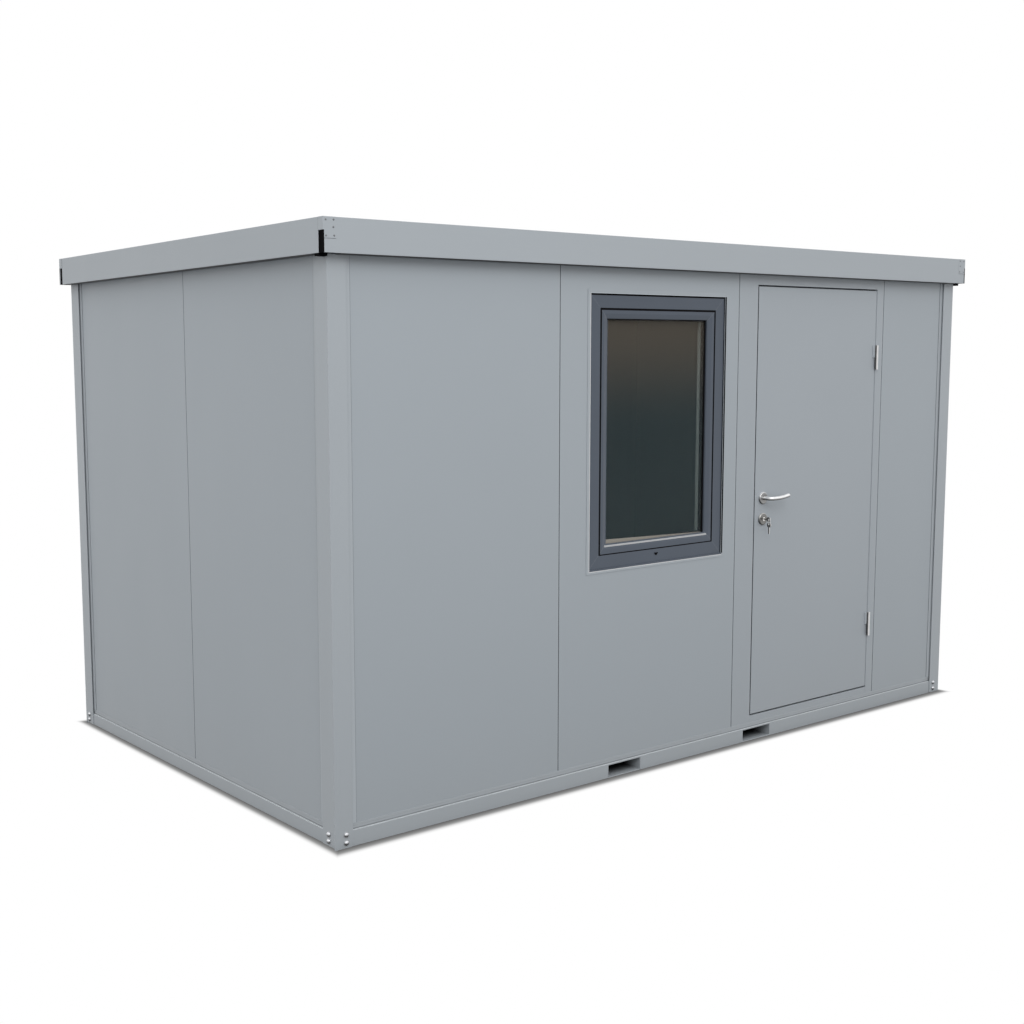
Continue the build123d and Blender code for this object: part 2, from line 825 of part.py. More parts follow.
def roof_panel(number: int) -> Part:
    """One roof panel across the cabin, with trapezoid ribs along its length."""
    width = body_length / roof_panel_count
    start = number * width + panel_gap / 2
    end = (number + 1) * width - panel_gap / 2
    pitch = width / roof_ribs_per_panel
    deck = panel_top + roof_thickness
    outline = [(start, panel_top), (start, deck)]
    for rib in range(roof_ribs_per_panel):
        middle = number * width + (rib + 1 / 2) * pitch
        outline += [
            (middle - rib_foot / 2, deck),
            (middle - rib_crest / 2, roof_crest),
            (middle + rib_crest / 2, roof_crest),
            (middle + rib_foot / 2, deck),
        ]
    outline += [(end, deck), (end, panel_top)]
    with BuildPart() as panel:
        with BuildSketch(elevation_plane(body_depth)):
            with BuildLine():
                Polyline(*outline, close=True)
            make_face()
        extrude(amount=body_depth)
    return panel.part


os.makedirs("parts", exist_ok=True)

# Base frame and floor
for wall in WALLS:
    write(base_rail(wall), f"{wall}_base_rail")
write(fork_pockets(), "fork_pockets")
write(floor_joists(), "floor_joists")
write(floor_slab(wall_inside + rail_sheet, rail_height, floor_panel_top), "floor_panel")
write(floor_slab(wall_inside, floor_panel_top, floor_top), "floor_board")

# Corner posts, each named for the corner at its wall's left end
post_corners = {"front": "front_left", "right": "front_right", "rear": "rear_right", "left": "rear_left"}
for wall, corner in post_corners.items():
    write(corner_post(wall), f"{corner}_post")

# Walls
half_gap = panel_gap / 2
wall_start = wall_inside + butt_clearance
wall_end = body_length - wall_inside - butt_clearance
write(wall_panel("front", wall_start, first_joint - half_gap, "square", "tongue"), "front_plain_panel")
write(window_panel(first_joint + half_gap, second_joint - half_gap), "front_window_panel")
write(wall_panel("front", third_joint + half_gap, wall_end, "plain", "square"), "front_narrow_panel")

rear_joints = [body_length - joint for joint in reversed(front_joints)]
rear_starts = [wall_start] + [joint + half_gap for joint in rear_joints]
rear_ends = [joint - half_gap for joint in rear_joints] + [wall_end]
for number, (start, end) in enumerate(zip(rear_starts, rear_ends), start=1):
    start_edge = "square" if start == wall_start else "groove"
    end_edge = "square" if end == wall_end else "tongue"
    write(wall_panel("rear", start, end, start_edge, end_edge), f"rear_panel_{number}")

side_end = body_depth - panel_recess
for wall, joint, names in (
    ("left", body_depth - side_joint, ("left_rear_panel", "left_front_panel")),
    ("right", side_joint, ("right_front_panel", "right_rear_panel")),
):
    write(wall_panel(wall, panel_recess, joint - half_gap, "square", "tongue"), names[0])
    write(wall_panel(wall, joint + half_gap, side_end, "groove", "square"), names[1])

# Door frame, leaf and its hardware
write(door_jamb(second_joint, door_left), "door_lock_jamb")
write(door_jamb(third_joint, door_right), "door_hinge_jamb")
write(door_crosspiece(door_top, panel_top, door_top - stop_cover), "door_head")
write(door_crosspiece(rail_height, door_bottom, door_bottom), "door_threshold")
write(door_leaf(), "door_leaf")
write(hinge_halves(False), "door_frame_hinges")
write(hinge_halves(True), "door_leaf_hinges")
write(lever_handle(), "lever_handle")
write(roses(lever_height, lever_radius + rose_clearance), "lever_roses")
write(roses(lock_height, cylinder_radius + cylinder_clearance), "lock_roses")
write(lock_cylinder(), "lock_cylinder")
write(door_key(), "door_key")

# Window
write(window_trim(), "window_trim")
write(window_frame(), "window_frame")
write(window_sash(), "window_sash")
write(window_glass(), "window_glass")
write(glazing_spacer(), "glazing_spacer")
write(window_handle(), "window_handle")
inner_trim_rim = trim_sheet + trim_clearance + inner_trim_face
write(ring(wall_inside, trim_sheet, inner_trim_rim, trim_sheet + trim_clearance), "window_inner_trim")

# Roof
for wall in WALLS:
    write(fascia(wall), f"{wall}_fascia")
write(corner_brackets(), "fascia_corner_brackets")
write(corner_drains(), "fascia_corner_drains")
for number in range(roof_panel_count):
    write(roof_panel(number), f"roof_panel_{number + 1}")
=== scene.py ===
"""The looks of a site office cabin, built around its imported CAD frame.

Metres, in the CAD's own frame: the origin is on the ground under the middle of the cabin, +X runs
along the front to the right, the front faces -Y and +Z is up.
"""

from __future__ import annotations

import json
import logging
import math
from dataclasses import dataclass, field
from enum import Enum
from typing import Any, Callable, Iterable, Mapping, Sequence, Union

import bmesh
import bpy
from mathutils import Matrix, Vector

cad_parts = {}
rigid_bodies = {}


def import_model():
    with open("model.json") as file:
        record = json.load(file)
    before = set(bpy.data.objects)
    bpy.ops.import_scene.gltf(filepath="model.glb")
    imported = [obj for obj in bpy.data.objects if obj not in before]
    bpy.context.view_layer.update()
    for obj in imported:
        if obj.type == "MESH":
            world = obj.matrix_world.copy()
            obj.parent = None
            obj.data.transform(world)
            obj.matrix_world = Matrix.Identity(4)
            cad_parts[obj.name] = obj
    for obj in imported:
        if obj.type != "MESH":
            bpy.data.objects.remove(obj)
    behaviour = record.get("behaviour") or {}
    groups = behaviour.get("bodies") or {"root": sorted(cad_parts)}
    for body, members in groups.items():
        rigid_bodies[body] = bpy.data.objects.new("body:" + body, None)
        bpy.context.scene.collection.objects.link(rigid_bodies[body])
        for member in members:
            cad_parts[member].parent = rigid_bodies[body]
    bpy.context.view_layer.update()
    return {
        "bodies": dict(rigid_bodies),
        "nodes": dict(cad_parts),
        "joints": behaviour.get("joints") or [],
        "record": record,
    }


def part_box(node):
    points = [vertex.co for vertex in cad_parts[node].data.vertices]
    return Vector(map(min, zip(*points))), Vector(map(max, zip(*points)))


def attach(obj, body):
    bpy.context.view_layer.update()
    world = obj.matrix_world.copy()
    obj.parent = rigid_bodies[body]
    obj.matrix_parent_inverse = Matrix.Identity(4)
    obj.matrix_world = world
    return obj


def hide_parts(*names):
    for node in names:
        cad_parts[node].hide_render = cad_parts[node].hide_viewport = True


LOG = logging.getLogger("cabin")
MM = 0.001
UP = Vector((0.0, 0.0, 1.0))
ALONG = Vector((1.0, 0.0, 0.0))
GLASS_COVER = 12 * MM
RAIL_LIP = 24 * MM

Colour = tuple[float, float, float]
Point = Sequence[float]
Pair = tuple[float, float]
Tones = tuple[Pair, ...]
Inputs = dict[Union[str, int], Any]
Ring = list[bmesh.types.BMEdge]


class Body(str, Enum):
    """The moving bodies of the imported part."""

    CABIN = "cabin"
    DOOR = "door"
    LEVER = "lever"


class Slot(str, Enum):
    """The record's material slots."""

    FRAME = "frame_paint"
    WALL = "wall_paint"
    DOOR = "door_paint"
    BASE = "base_steel"
    FLOOR_CORE = "floor_core"
    FLOOR_FINISH = "floor_finish"
    HINGE = "hinge_steel"
    SATIN = "satin_steel"
    LOCK = "lock_metal"
    PLASTIC = "window_plastic"
    TRIM = "window_trim"
    INNER_TRIM = "inner_trim"
    GLASS = "glass"
    SPACER = "spacer"
    DRAIN = "drain_plastic"
    ROOF = "roof_sheet"


class Extra(str, Enum):
    """Finishes that have no slot of their own."""

    RAIL = "rail"
    POCKET = "pocket"
    RUBBER = "rubber"
    ZINC = "zinc"
    BEAD = "bead"
    LEVER = "lever"
    BOLT = "bolt"
    POST = "post"
    SEALANT = "sealant"
    WORN = "worn"
    CAULK = "caulk"


# Shader maths


def math_method(operation: str, reflected: bool = False) -> Callable[[Field, Value], Field]:
    """Make an operator of a field, which adds one Math node.

    Args:
        operation: The Math node's operation.
        reflected: Whether the field stands on the right of the sign.

    Returns:
        The method.
    """

    def method(self: Field, other: Value) -> Field:
        """The two values joined by a Math node."""
        return self.graph.math(operation, *((other, self) if reflected else (self, other)))

    return method


@dataclass(frozen=True)
class Field:
    """A value that changes over a surface: one output socket and the graph that it belongs to."""

    graph: "Graph"
    socket: bpy.types.NodeSocket

    __add__ = math_method("ADD")
    __radd__ = math_method("ADD", reflected=True)
    __sub__ = math_method("SUBTRACT")
    __rsub__ = math_method("SUBTRACT", reflected=True)
    __mul__ = math_method("MULTIPLY")
    __rmul__ = math_method("MULTIPLY", reflected=True)
    __lt__ = math_method("LESS_THAN")
    __gt__ = math_method("GREATER_THAN")

    def __abs__(self) -> "Field":
        """The size without its sign."""
        return self.graph.math("ABSOLUTE", self)

    def smooth(self, low: float, high: float) -> "Field":
        """A soft step from 0 at low to 1 at high."""
        inputs = {"Value": self, "From Min": low, "From Max": high}
        return self.graph.node("ShaderNodeMapRange", {"interpolation_type": "SMOOTHSTEP"}, inputs)

    def band(self, low: float, high: float) -> "Field":
        """1 where this field is between two values, else 0."""
        return (self > low) * (self < high)


Value = Union[Field, float]


@dataclass(frozen=True)
class Spot:
    """A point of the surface in the cabin's frame, and its three parts."""

    point: Field
    x: Field
    y: Field
    z: Field


class Graph:
    """The node tree of one material or of the world, with one method that adds any node."""

    def __init__(self, tree: bpy.types.NodeTree) -> None:
        """Empty the tree, so that it holds only what is added here."""
        self.tree = tree
        tree.nodes.clear()

    def node(
        self,
        kind: str,
        settings: Mapping[str, Any] | None = None,
        inputs: Mapping[Union[str, int], Any] | None = None,
        output: Union[str, int] = 0,
    ) -> Field:
        """Add one node.

        Args:
            kind: The node's Blender type.
            settings: Its properties; "stops" gives a ramp's (place, colour) pairs.
            inputs: Values or fields for its sockets, by name or number.
            output: The name or number of the output to hand back.

        Returns:
            The chosen output as a field, or the first input of a node that ends the graph.
        """
        made = self.tree.nodes.new(kind)
        for key, value in (settings or {}).items():
            if key == "stops":
                self._set_stops(made.color_ramp, value)
            else:
                setattr(made, key, value)
        for key, value in (inputs or {}).items():
            if isinstance(value, Field):
                self.tree.links.new(value.socket, made.inputs[key])
            else:
                made.inputs[key].default_value = value
        return Field(self, made.outputs[output] if made.outputs else made.inputs[0])

    @staticmethod
    def _set_stops(ramp: bpy.types.ColorRamp, stops: Sequence[tuple[float, Colour]]) -> None:
        """Give a colour ramp its stops.

        Args:
            ramp: The ramp, which starts with two stops.
            stops: Pairs of place and colour, in rising order.
        """
        while len(ramp.elements) < len(stops):
            ramp.elements.new(1.0)
        for element, (place, colour) in zip(ramp.elements, stops):
            element.position = place
            element.color = (*colour, 1.0)

    def math(self, operation: str, *values: Value) -> Field:
        """A Math node on one or two values."""
        return self.node("ShaderNodeMath", {"operation": operation}, dict(enumerate(values)))

    def mix(self, factor: Value, first: Any, second: Any, blend: str = "MIX") -> Field:
        """Mix two colours.

        Args:
            factor: 0 for the first colour, 1 for the second.
            first: A colour or a field of colours.
            second: A colour or a field of colours.
            blend: How the second goes over the first.

        Returns:
            The mixed colour.
        """
        colours = [value if isinstance(value, Field) else (*value, 1.0) for value in (first, second)]
        settings = {"data_type": "RGBA", "blend_type": blend}
        return self.node("ShaderNodeMix", settings, {0: factor, 6: colours[0], 7: colours[1]}, output=2)

    def greys(self, factor: Value, tones: Tones) -> Field:
        """A ramp of greys, given as (place, level) pairs, read at a factor."""
        stops = [(place, (level, level, level)) for place, level in tones]
        return self.node("ShaderNodeValToRGB", {"stops": stops}, {"Fac": factor}, "Color")

    def parts(self, vector: Field) -> list[Field]:
        """The X, Y and Z of a vector."""
        return [self.node("ShaderNodeSeparateXYZ", None, {0: vector}, axis) for axis in "XYZ"]

    def place(self) -> Spot:
        """The point on the surface in the cabin's frame."""
        point = self.node("ShaderNodeTexCoord", output="Object")
        return Spot(point, *self.parts(point))

    def facing(self, direction: Point) -> Field:
        """How far the surface faces a direction of the cabin's frame.

        Args:
            direction: A unit vector.

        Returns:
            1 where it faces that way, 0.5 across it and 0 where it faces the other way.
        """
        normal = self.node("ShaderNodeTexCoord", output="Normal")
        settings = {"operation": "DOT_PRODUCT"}
        turned = self.node("ShaderNodeVectorMath", settings, {0: normal, 1: direction}, "Value")
        return turned * 0.5 + 0.5

    def noise(self, point: Field, scale: float, detail: float = 2.0, stretch: Point = (1, 1, 1)) -> Field:
        """Soft noise from 0 to 1.

        Args:
            point: Where it is read.
            scale: Grains per metre.
            detail: How many finer layers it has.
            stretch: How much faster it changes along each axis.

        Returns:
            The noise.
        """
        if tuple(stretch) != (1, 1, 1):
            point = self.node("ShaderNodeMapping", None, {"Vector": point, "Scale": stretch})
        return self.node("ShaderNodeTexNoise", None, {"Vector": point, "Scale": scale, "Detail": detail})

    def bump(self, height: Field, depth: float, under: Field | None = None) -> Field:
        """A bumped normal.

        Args:
            height: The relief, from 0 to 1.
            depth: Its real height in metres.
            under: A normal that it goes on top of.

        Returns:
            The normal.
        """
        inputs: Inputs = {"Height": height, "Distance": depth}
        if under:
            inputs["Normal"] = under
        return self.node("ShaderNodeBump", None, inputs)


# Finishes


@dataclass(frozen=True)
class Finish:
    """What every finish has: a name, a colour and a roughness."""

    name: str
    colour: Colour
    roughness: float = 0.5

    def material(self) -> bpy.types.Material:
        """Make the Blender material.

        Returns:
            The material, with its node tree filled.
        """
        made = bpy.data.materials.new(self.name)
        made.use_nodes = True
        graph = Graph(made.node_tree)
        inputs: Inputs = {"Base Color": (*self.colour, 1.0), "Roughness": self.roughness}
        inputs.update(self.surface(graph))
        shader = graph.node("ShaderNodeBsdfPrincipled", None, inputs)
        graph.node("ShaderNodeOutputMaterial", None, {"Surface": shader})
        return made

    def surface(self, graph: Graph) -> Inputs:
        """What this finish gives the shader.

        Args:
            graph: The material's node graph.

        Returns:
            Values and fields by the shader's socket names.
        """
        raise NotImplementedError

    def shade(self, factor: float) -> Colour:
        """The finish's colour made lighter or darker by a factor."""
        return tuple(min(1.0, part * factor) for part in self.colour)

    def clouded(self, graph: Graph, clouds: Field, spread: float) -> Field:
        """The finish's colour, made lighter and darker by up to a share where the clouds say so."""
        return graph.mix(clouds, self.shade(1 - spread), self.shade(1 + spread))

    def uneven(self, grain: Field, spread: float) -> Field:
        """The finish's roughness, with a share of a grain added."""
        return self.roughness + (grain - 0.5) * spread


@dataclass(frozen=True)
class Paint(Finish):
    """Satin paint on sheet steel: slow clouds, a faint orange peel, and painted shade that darkens it
    towards the ground.
    """

    cloud: float = 0.02
    cloud_scale: float = 1.7
    smear: float = 0.12
    smear_scale: float = 5.0
    foot_shade: float = 0.10
    foot_shade_rise: Pair = (-0.5, 1.9)
    foot_tint: Colour = (0.30, 0.30, 0.29)
    dust_rise: Pair = (0.02, 0.42)
    dust_scale: float = 9.0
    dust_share: float = 0.14
    peel_scale: float = 620.0
    peel_depth: float = 0.06 * MM
    wave_scale: float = 1.9
    wave_depth: float = 1.2 * MM
    specular: float = 0.4

    def surface(self, graph: Graph) -> Inputs:
        """Colour with clouds, painted shade towards the ground, dust and marks; roughness with smears; peel
        and waves.

        Args:
            graph: The material's node graph.

        Returns:
            Values and fields by the shader's socket names.
        """
        spot = graph.place()
        colour = self.clouded(graph, graph.noise(spot.point, self.cloud_scale, 4.0), self.cloud)
        # Painted shade: the colour darkens towards the ground.
        colour = graph.mix(1 - spot.z.smooth(*self.foot_shade_rise), colour, self.shade(1 - self.foot_shade))
        patches = graph.noise(spot.point, self.dust_scale, 6.0)
        foot_tinted = (1 - spot.z.smooth(*self.dust_rise)) * patches * self.dust_share
        colour = self.marks(graph, spot, graph.mix(foot_tinted, colour, self.foot_tint))
        smears = graph.noise(spot.point, self.smear_scale, 5.0, (1.0, 1.0, 0.25))
        peel = graph.bump(graph.noise(spot.point, self.peel_scale), self.peel_depth)
        waves = graph.noise(spot.point, self.wave_scale, 1.0)
        return {
            "Base Color": colour,
            "Roughness": self.uneven(smears, self.smear),
            "Normal": graph.bump(waves, self.wave_depth, peel),
            "Specular IOR Level": self.specular,
        }

    def marks(self, graph: Graph, spot: Spot, colour: Field) -> Field:
        """The colour with what else this paint carries: here nothing."""
        return colour


@dataclass(frozen=True)
class LinedPaint(Paint):
    """Paint outside, and the cabin's white lining on the faces that look into the room."""

    lining: Colour = (0.62, 0.62, 0.60)
    half_length: float = 1.0
    half_depth: float = 1.0
    ceiling: float = 1.0

    def marks(self, graph: Graph, spot: Spot, colour: Field) -> Field:
        """The colour, with the lining within the room's box."""
        inside = (abs(spot.x) < self.half_length) * (abs(spot.y) < self.half_depth)
        return graph.mix(inside * (spot.z < self.ceiling), colour, self.lining)


@dataclass(frozen=True)
class RailPaint(Paint):
    """Paint on a folded rail: a painted highlight along its upper fold, a line of painted shade just above
    it, and a patchy darker band higher on the lip.
    """

    fold_height: float = 0.0
    highlight_half: float = 1.4 * MM
    shade_depth: float = 5.0 * MM
    dark_band: Pair = (13.0 * MM, 16.5 * MM)
    dark_band_share: float = 0.25
    highlight_colour: Colour = (0.44, 0.47, 0.49)
    dark_colour: Colour = (0.17, 0.18, 0.19)

    def marks(self, graph: Graph, spot: Spot, colour: Field) -> Field:
        """Add the painted highlight on the fold, the painted shade behind it and the darker band above.

        Args:
            graph: The material's node graph.
            spot: The place on the surface.
            colour: The paint's colour so far.

        Returns:
            The colour with its marks.
        """
        above = spot.z - self.fold_height
        patchy = graph.noise(spot.point, 14.0, 4.0, (1.0, 1.0, 0.1)).smooth(0.25, 0.6)
        # Painted shade in a line just above the fold, a patchy darker band higher on the lip, and a painted
        # highlight along the fold itself.
        painted_shade = above.band(self.highlight_half, self.highlight_half + self.shade_depth) * (0.5 + patchy * 0.4)
        banded = above.band(*self.dark_band) * patchy * self.dark_band_share
        colour = graph.mix(painted_shade + banded, colour, self.dark_colour)
        return graph.mix((abs(above) < self.highlight_half) * (0.65 + patchy * 0.35), colour, self.highlight_colour)


@dataclass(frozen=True)
class PostPaint(Paint):
    """Paint on a corner post, with painted light: its inner angle, which lies in the shelter of its legs,
    is made lighter.
    """

    half_length: float = 1.0
    half_depth: float = 1.0
    step: float = 5 * MM
    inner_lift: float = 1.03

    def marks(self, graph: Graph, spot: Spot, colour: Field) -> Field:
        """The colour, made lighter behind the outer legs as painted light."""
        # Painted light on the recessed inner angle.
        inner = (abs(spot.x) < self.half_length - self.step) * (abs(spot.y) < self.half_depth - self.step)
        return graph.mix(inner, colour, self.shade(self.inner_lift))


@dataclass(frozen=True)
class PocketPaint(Paint):
    """Paint on the fork pockets: plain at their mouths, with painted shade that turns black further in."""

    mouth: float = 1.0
    unshaded_depth: float = 10 * MM
    black_from: float = 110 * MM
    dark_colour: Colour = (0.012, 0.012, 0.013)

    def marks(self, graph: Graph, spot: Spot, colour: Field) -> Field:
        """The colour, with painted shade that deepens away from the mouth."""
        # Painted shade that deepens from the mouth inwards.
        depth = self.mouth - abs(spot.y)
        return graph.mix(depth.smooth(self.unshaded_depth, self.black_from), colour, self.dark_colour)


@dataclass(frozen=True)
class Metal(Finish):
    """Bare metal with a fine grain, with painted light: lighter on the side that faces a given way, darker
    on the far side.
    """

    lit_side: Point = (0.0, 0.0, 1.0)
    tones: Tones = ((0.0, 1.0), (1.0, 1.0))
    grain_scale: float = 900.0
    grain_depth: float = 0.01 * MM
    grain_spread: float = 0.16
    blotch_scale: float = 60.0
    wear: float = 0.08
    metallic: float = 1.0

    def surface(self, graph: Graph) -> Inputs:
        """Grain in colour, roughness and relief; painted light and shade by the way each face turns.

        Args:
            graph: The material's node graph.

        Returns:
            Values and fields by the shader's socket names.
        """
        point = graph.place().point
        grain = graph.noise(point, self.grain_scale, 3.0)
        colour = self.clouded(graph, graph.noise(point, self.blotch_scale, 3.0), self.wear)
        # Painted light and shade: the colour is multiplied by grey levels read from how far each face turns
        # towards the lit side.
        painted_light = graph.greys(graph.facing(self.lit_side), self.tones)
        return {
            "Base Color": graph.mix(1.0, colour, painted_light, "MULTIPLY"),
            "Roughness": self.uneven(grain, self.grain_spread),
            "Metallic": self.metallic,
            "Normal": graph.bump(grain, self.grain_depth),
        }


@dataclass(frozen=True)
class HingeSteel(Metal):
    """Plated hinge barrels on lugs painted in the door's colour made lighter, which is painted light."""

    axis: float = 0.0
    radius: float = 8.2 * MM
    paint: Colour = (0.3, 0.3, 0.3)

    def surface(self, graph: Graph) -> Inputs:
        """The barrel's metal, and paint on what lies beside it.

        Args:
            graph: The material's node graph.

        Returns:
            Values and fields by the shader's socket names.
        """
        inputs = super().surface(graph)
        lug = abs(graph.place().x - self.axis) > self.radius
        inputs["Base Color"] = graph.mix(lug, inputs["Base Color"], self.paint)
        inputs["Metallic"] = (1 - lug) * self.metallic
        return inputs


@dataclass(frozen=True)
class MitredPlastic(Finish):
    """Foiled or painted frame stock, cut and joined at 45 degrees in the corners."""

    centre: Pair = (0.0, 0.0)
    half_size: Pair = (1.0, 1.0)
    seam: float = 0.8 * MM
    seam_share: float = 0.3
    seam_colour: Colour = (0.30, 0.31, 0.33)
    grain_scale: float = 420.0
    grain_depth: float = 0.04 * MM
    grain_spread: float = 0.14
    cloud: float = 0.06
    specular: float = 0.5
    lit_rim: float = 0.0
    rim_gain: float = 1.55
    inside_from: float | None = None
    inside: Colour = (0.62, 0.63, 0.62)

    def surface(self, graph: Graph) -> Inputs:
        """A fine grain along each bar, lines where the bars meet, and the inside's own colour.

        Args:
            graph: The material's node graph.

        Returns:
            Values and fields by the shader's socket names.
        """
        spot = graph.place()
        from_side = self.half_size[0] - abs(spot.x - self.centre[0])
        from_end = self.half_size[1] - abs(spot.z - self.centre[1])
        upright = from_side < from_end
        long_grain = graph.noise(spot.point, self.grain_scale, 3.0, (1.0, 1.0, 0.06))
        level_grain = graph.noise(spot.point, self.grain_scale, 3.0, (0.06, 1.0, 1.0))
        grain = upright * long_grain + (1 - upright) * level_grain
        colour = self.clouded(graph, graph.noise(spot.point, 6.0, 3.0), self.cloud)
        if self.lit_rim:
            rim = graph.math("MINIMUM", from_side, from_end) > self.lit_rim
            colour = graph.mix(rim, colour, self.shade(self.rim_gain))
        seam = (abs(from_side - from_end) < self.seam) * self.seam_share
        colour = graph.mix(seam, colour, self.seam_colour)
        if self.inside_from is not None:
            colour = graph.mix(spot.y > self.inside_from, colour, self.inside)
        return {
            "Base Color": colour,
            "Roughness": self.uneven(grain, self.grain_spread),
            "Normal": graph.bump(grain, self.grain_depth),
            "Specular IOR Level": self.specular,
        }


@dataclass(frozen=True)
class Moulded(Finish):
    """Moulded plastic or rubber with a fine matt grain."""

    blotch: float = 0.15
    blotch_scale: float = 25.0
    grain_scale: float = 900.0
    grain_depth: float = 0.03 * MM
    grain_spread: float = 0.2
    specular: float = 0.3

    def surface(self, graph: Graph) -> Inputs:
        """A matt grain in colour, roughness and relief.

        Args:
            graph: The material's node graph.

        Returns:
            Values and fields by the shader's socket names.
        """
        point = graph.place().point
        grain = graph.noise(point, self.grain_scale, 3.0)
        return {
            "Base Color": self.clouded(graph, graph.noise(point, self.blotch_scale, 4.0), self.blotch),
            "Roughness": self.uneven(grain, self.grain_spread),
            "Normal": graph.bump(grain, self.grain_depth),
            "Specular IOR Level": self.specular,
        }


@dataclass(frozen=True)
class Board(Finish):
    """Plywood: long grain in two browns."""

    dark: Colour = (0.26, 0.17, 0.09)
    grain_scale: float = 30.0
    grain_depth: float = 0.2 * MM

    def surface(self, graph: Graph) -> Inputs:
        """Wood grain along the cabin.

        Args:
            graph: The material's node graph.

        Returns:
            Values and fields by the shader's socket names.
        """
        grain = graph.noise(graph.place().point, self.grain_scale, 6.0, (0.15, 1.0, 1.0))
        return {
            "Base Color": graph.mix(grain.smooth(0.3, 0.7), self.colour, self.dark),
            "Roughness": self.uneven(grain, 0.2),
            "Normal": graph.bump(grain, self.grain_depth),
        }


@dataclass(frozen=True)
class SheetVinyl(Finish):
    """Speckled floor vinyl."""

    fleck: Colour = (0.07, 0.075, 0.08)
    fleck_scale: float = 260.0
    fleck_depth: float = 0.1 * MM
    cloud: float = 0.07

    def surface(self, graph: Graph) -> Inputs:
        """Flecks of two shades and a soft sheen.

        Args:
            graph: The material's node graph.

        Returns:
            Values and fields by the shader's socket names.
        """
        point = graph.place().point
        flecks = graph.noise(point, self.fleck_scale).smooth(0.56, 0.64)
        clouds = graph.noise(point, 3.0, 4.0)
        return {
            "Base Color": graph.mix(flecks, self.clouded(graph, clouds, self.cloud), self.fleck),
            "Roughness": self.uneven(clouds, 0.15),
            "Normal": graph.bump(flecks, self.fleck_depth),
        }


@dataclass(frozen=True)
class WindowGlass(Finish):
    """Clear glass with a thin film on it, a painted warm reflection towards the top, and a pale, less clear
    band along its foot.
    """

    low: Point = (0.0, 0.0, 0.0)
    high: Point = (1.0, 1.0, 1.0)
    film: float = 0.09
    film_spread: float = 0.02
    reflection_top: Colour = (0.22, 0.19, 0.15)
    specular: float = 0.4
    foot_tint: Colour = (0.29, 0.27, 0.235)
    foot_tint_alpha: float = 0.85
    foot_tint_rough: float = 0.5
    foot_tint_left: float = 19 * MM
    foot_tint_right: float = 2 * MM
    foot_tint_edge: Pair = (-2 * MM, 1 * MM)

    def surface(self, graph: Graph) -> Inputs:
        """Alpha lets most of the light through; the film and the band at the foot take some of it.

        Args:
            graph: The material's node graph.

        Returns:
            Values and fields by the shader's socket names.
        """
        spot = graph.place()
        uneven = graph.noise(spot.point, 4.0, 4.0)
        # Painted reflection: the colour turns warmer towards the top.
        height = spot.z.smooth((self.low[2] + self.high[2]) / 2, self.high[2])
        # A pale, less clear band along the foot of the front face, taller at the left.
        slope = (self.foot_tint_right - self.foot_tint_left) / (self.high[0] - self.low[0])
        foot_tint_top = self.low[2] + self.foot_tint_left + (spot.x - self.low[0]) * slope
        outside = spot.y < self.low[1] + MM
        foot_tinted = (1 - (spot.z - foot_tint_top).smooth(*self.foot_tint_edge)) * outside
        film = self.film + (uneven - 0.5) * self.film_spread
        return {
            "Base Color": graph.mix(foot_tinted, graph.mix(height, self.colour, self.reflection_top), self.foot_tint),
            "Alpha": film + foot_tinted * (self.foot_tint_alpha - self.film),
            "Roughness": self.roughness + uneven * self.film_spread + foot_tinted * self.foot_tint_rough,
            "Specular IOR Level": self.specular,
        }


# Meshes


def flatten(piece: bpy.types.Object) -> None:
    """Keep large faces flat beside their soft edges.

    Args:
        piece: The object, with its other modifiers in place.
    """
    normals = piece.modifiers.new("flat faces", "WEIGHTED_NORMAL")
    normals.mode = "FACE_AREA"
    normals.weight = 100
    normals.keep_sharp = True


def angles(last: int, step: int) -> list[float]:
    """Angles from 0 to a last one, given in degrees, as radians."""
    return [math.radians(angle) for angle in range(0, last + 1, step)]


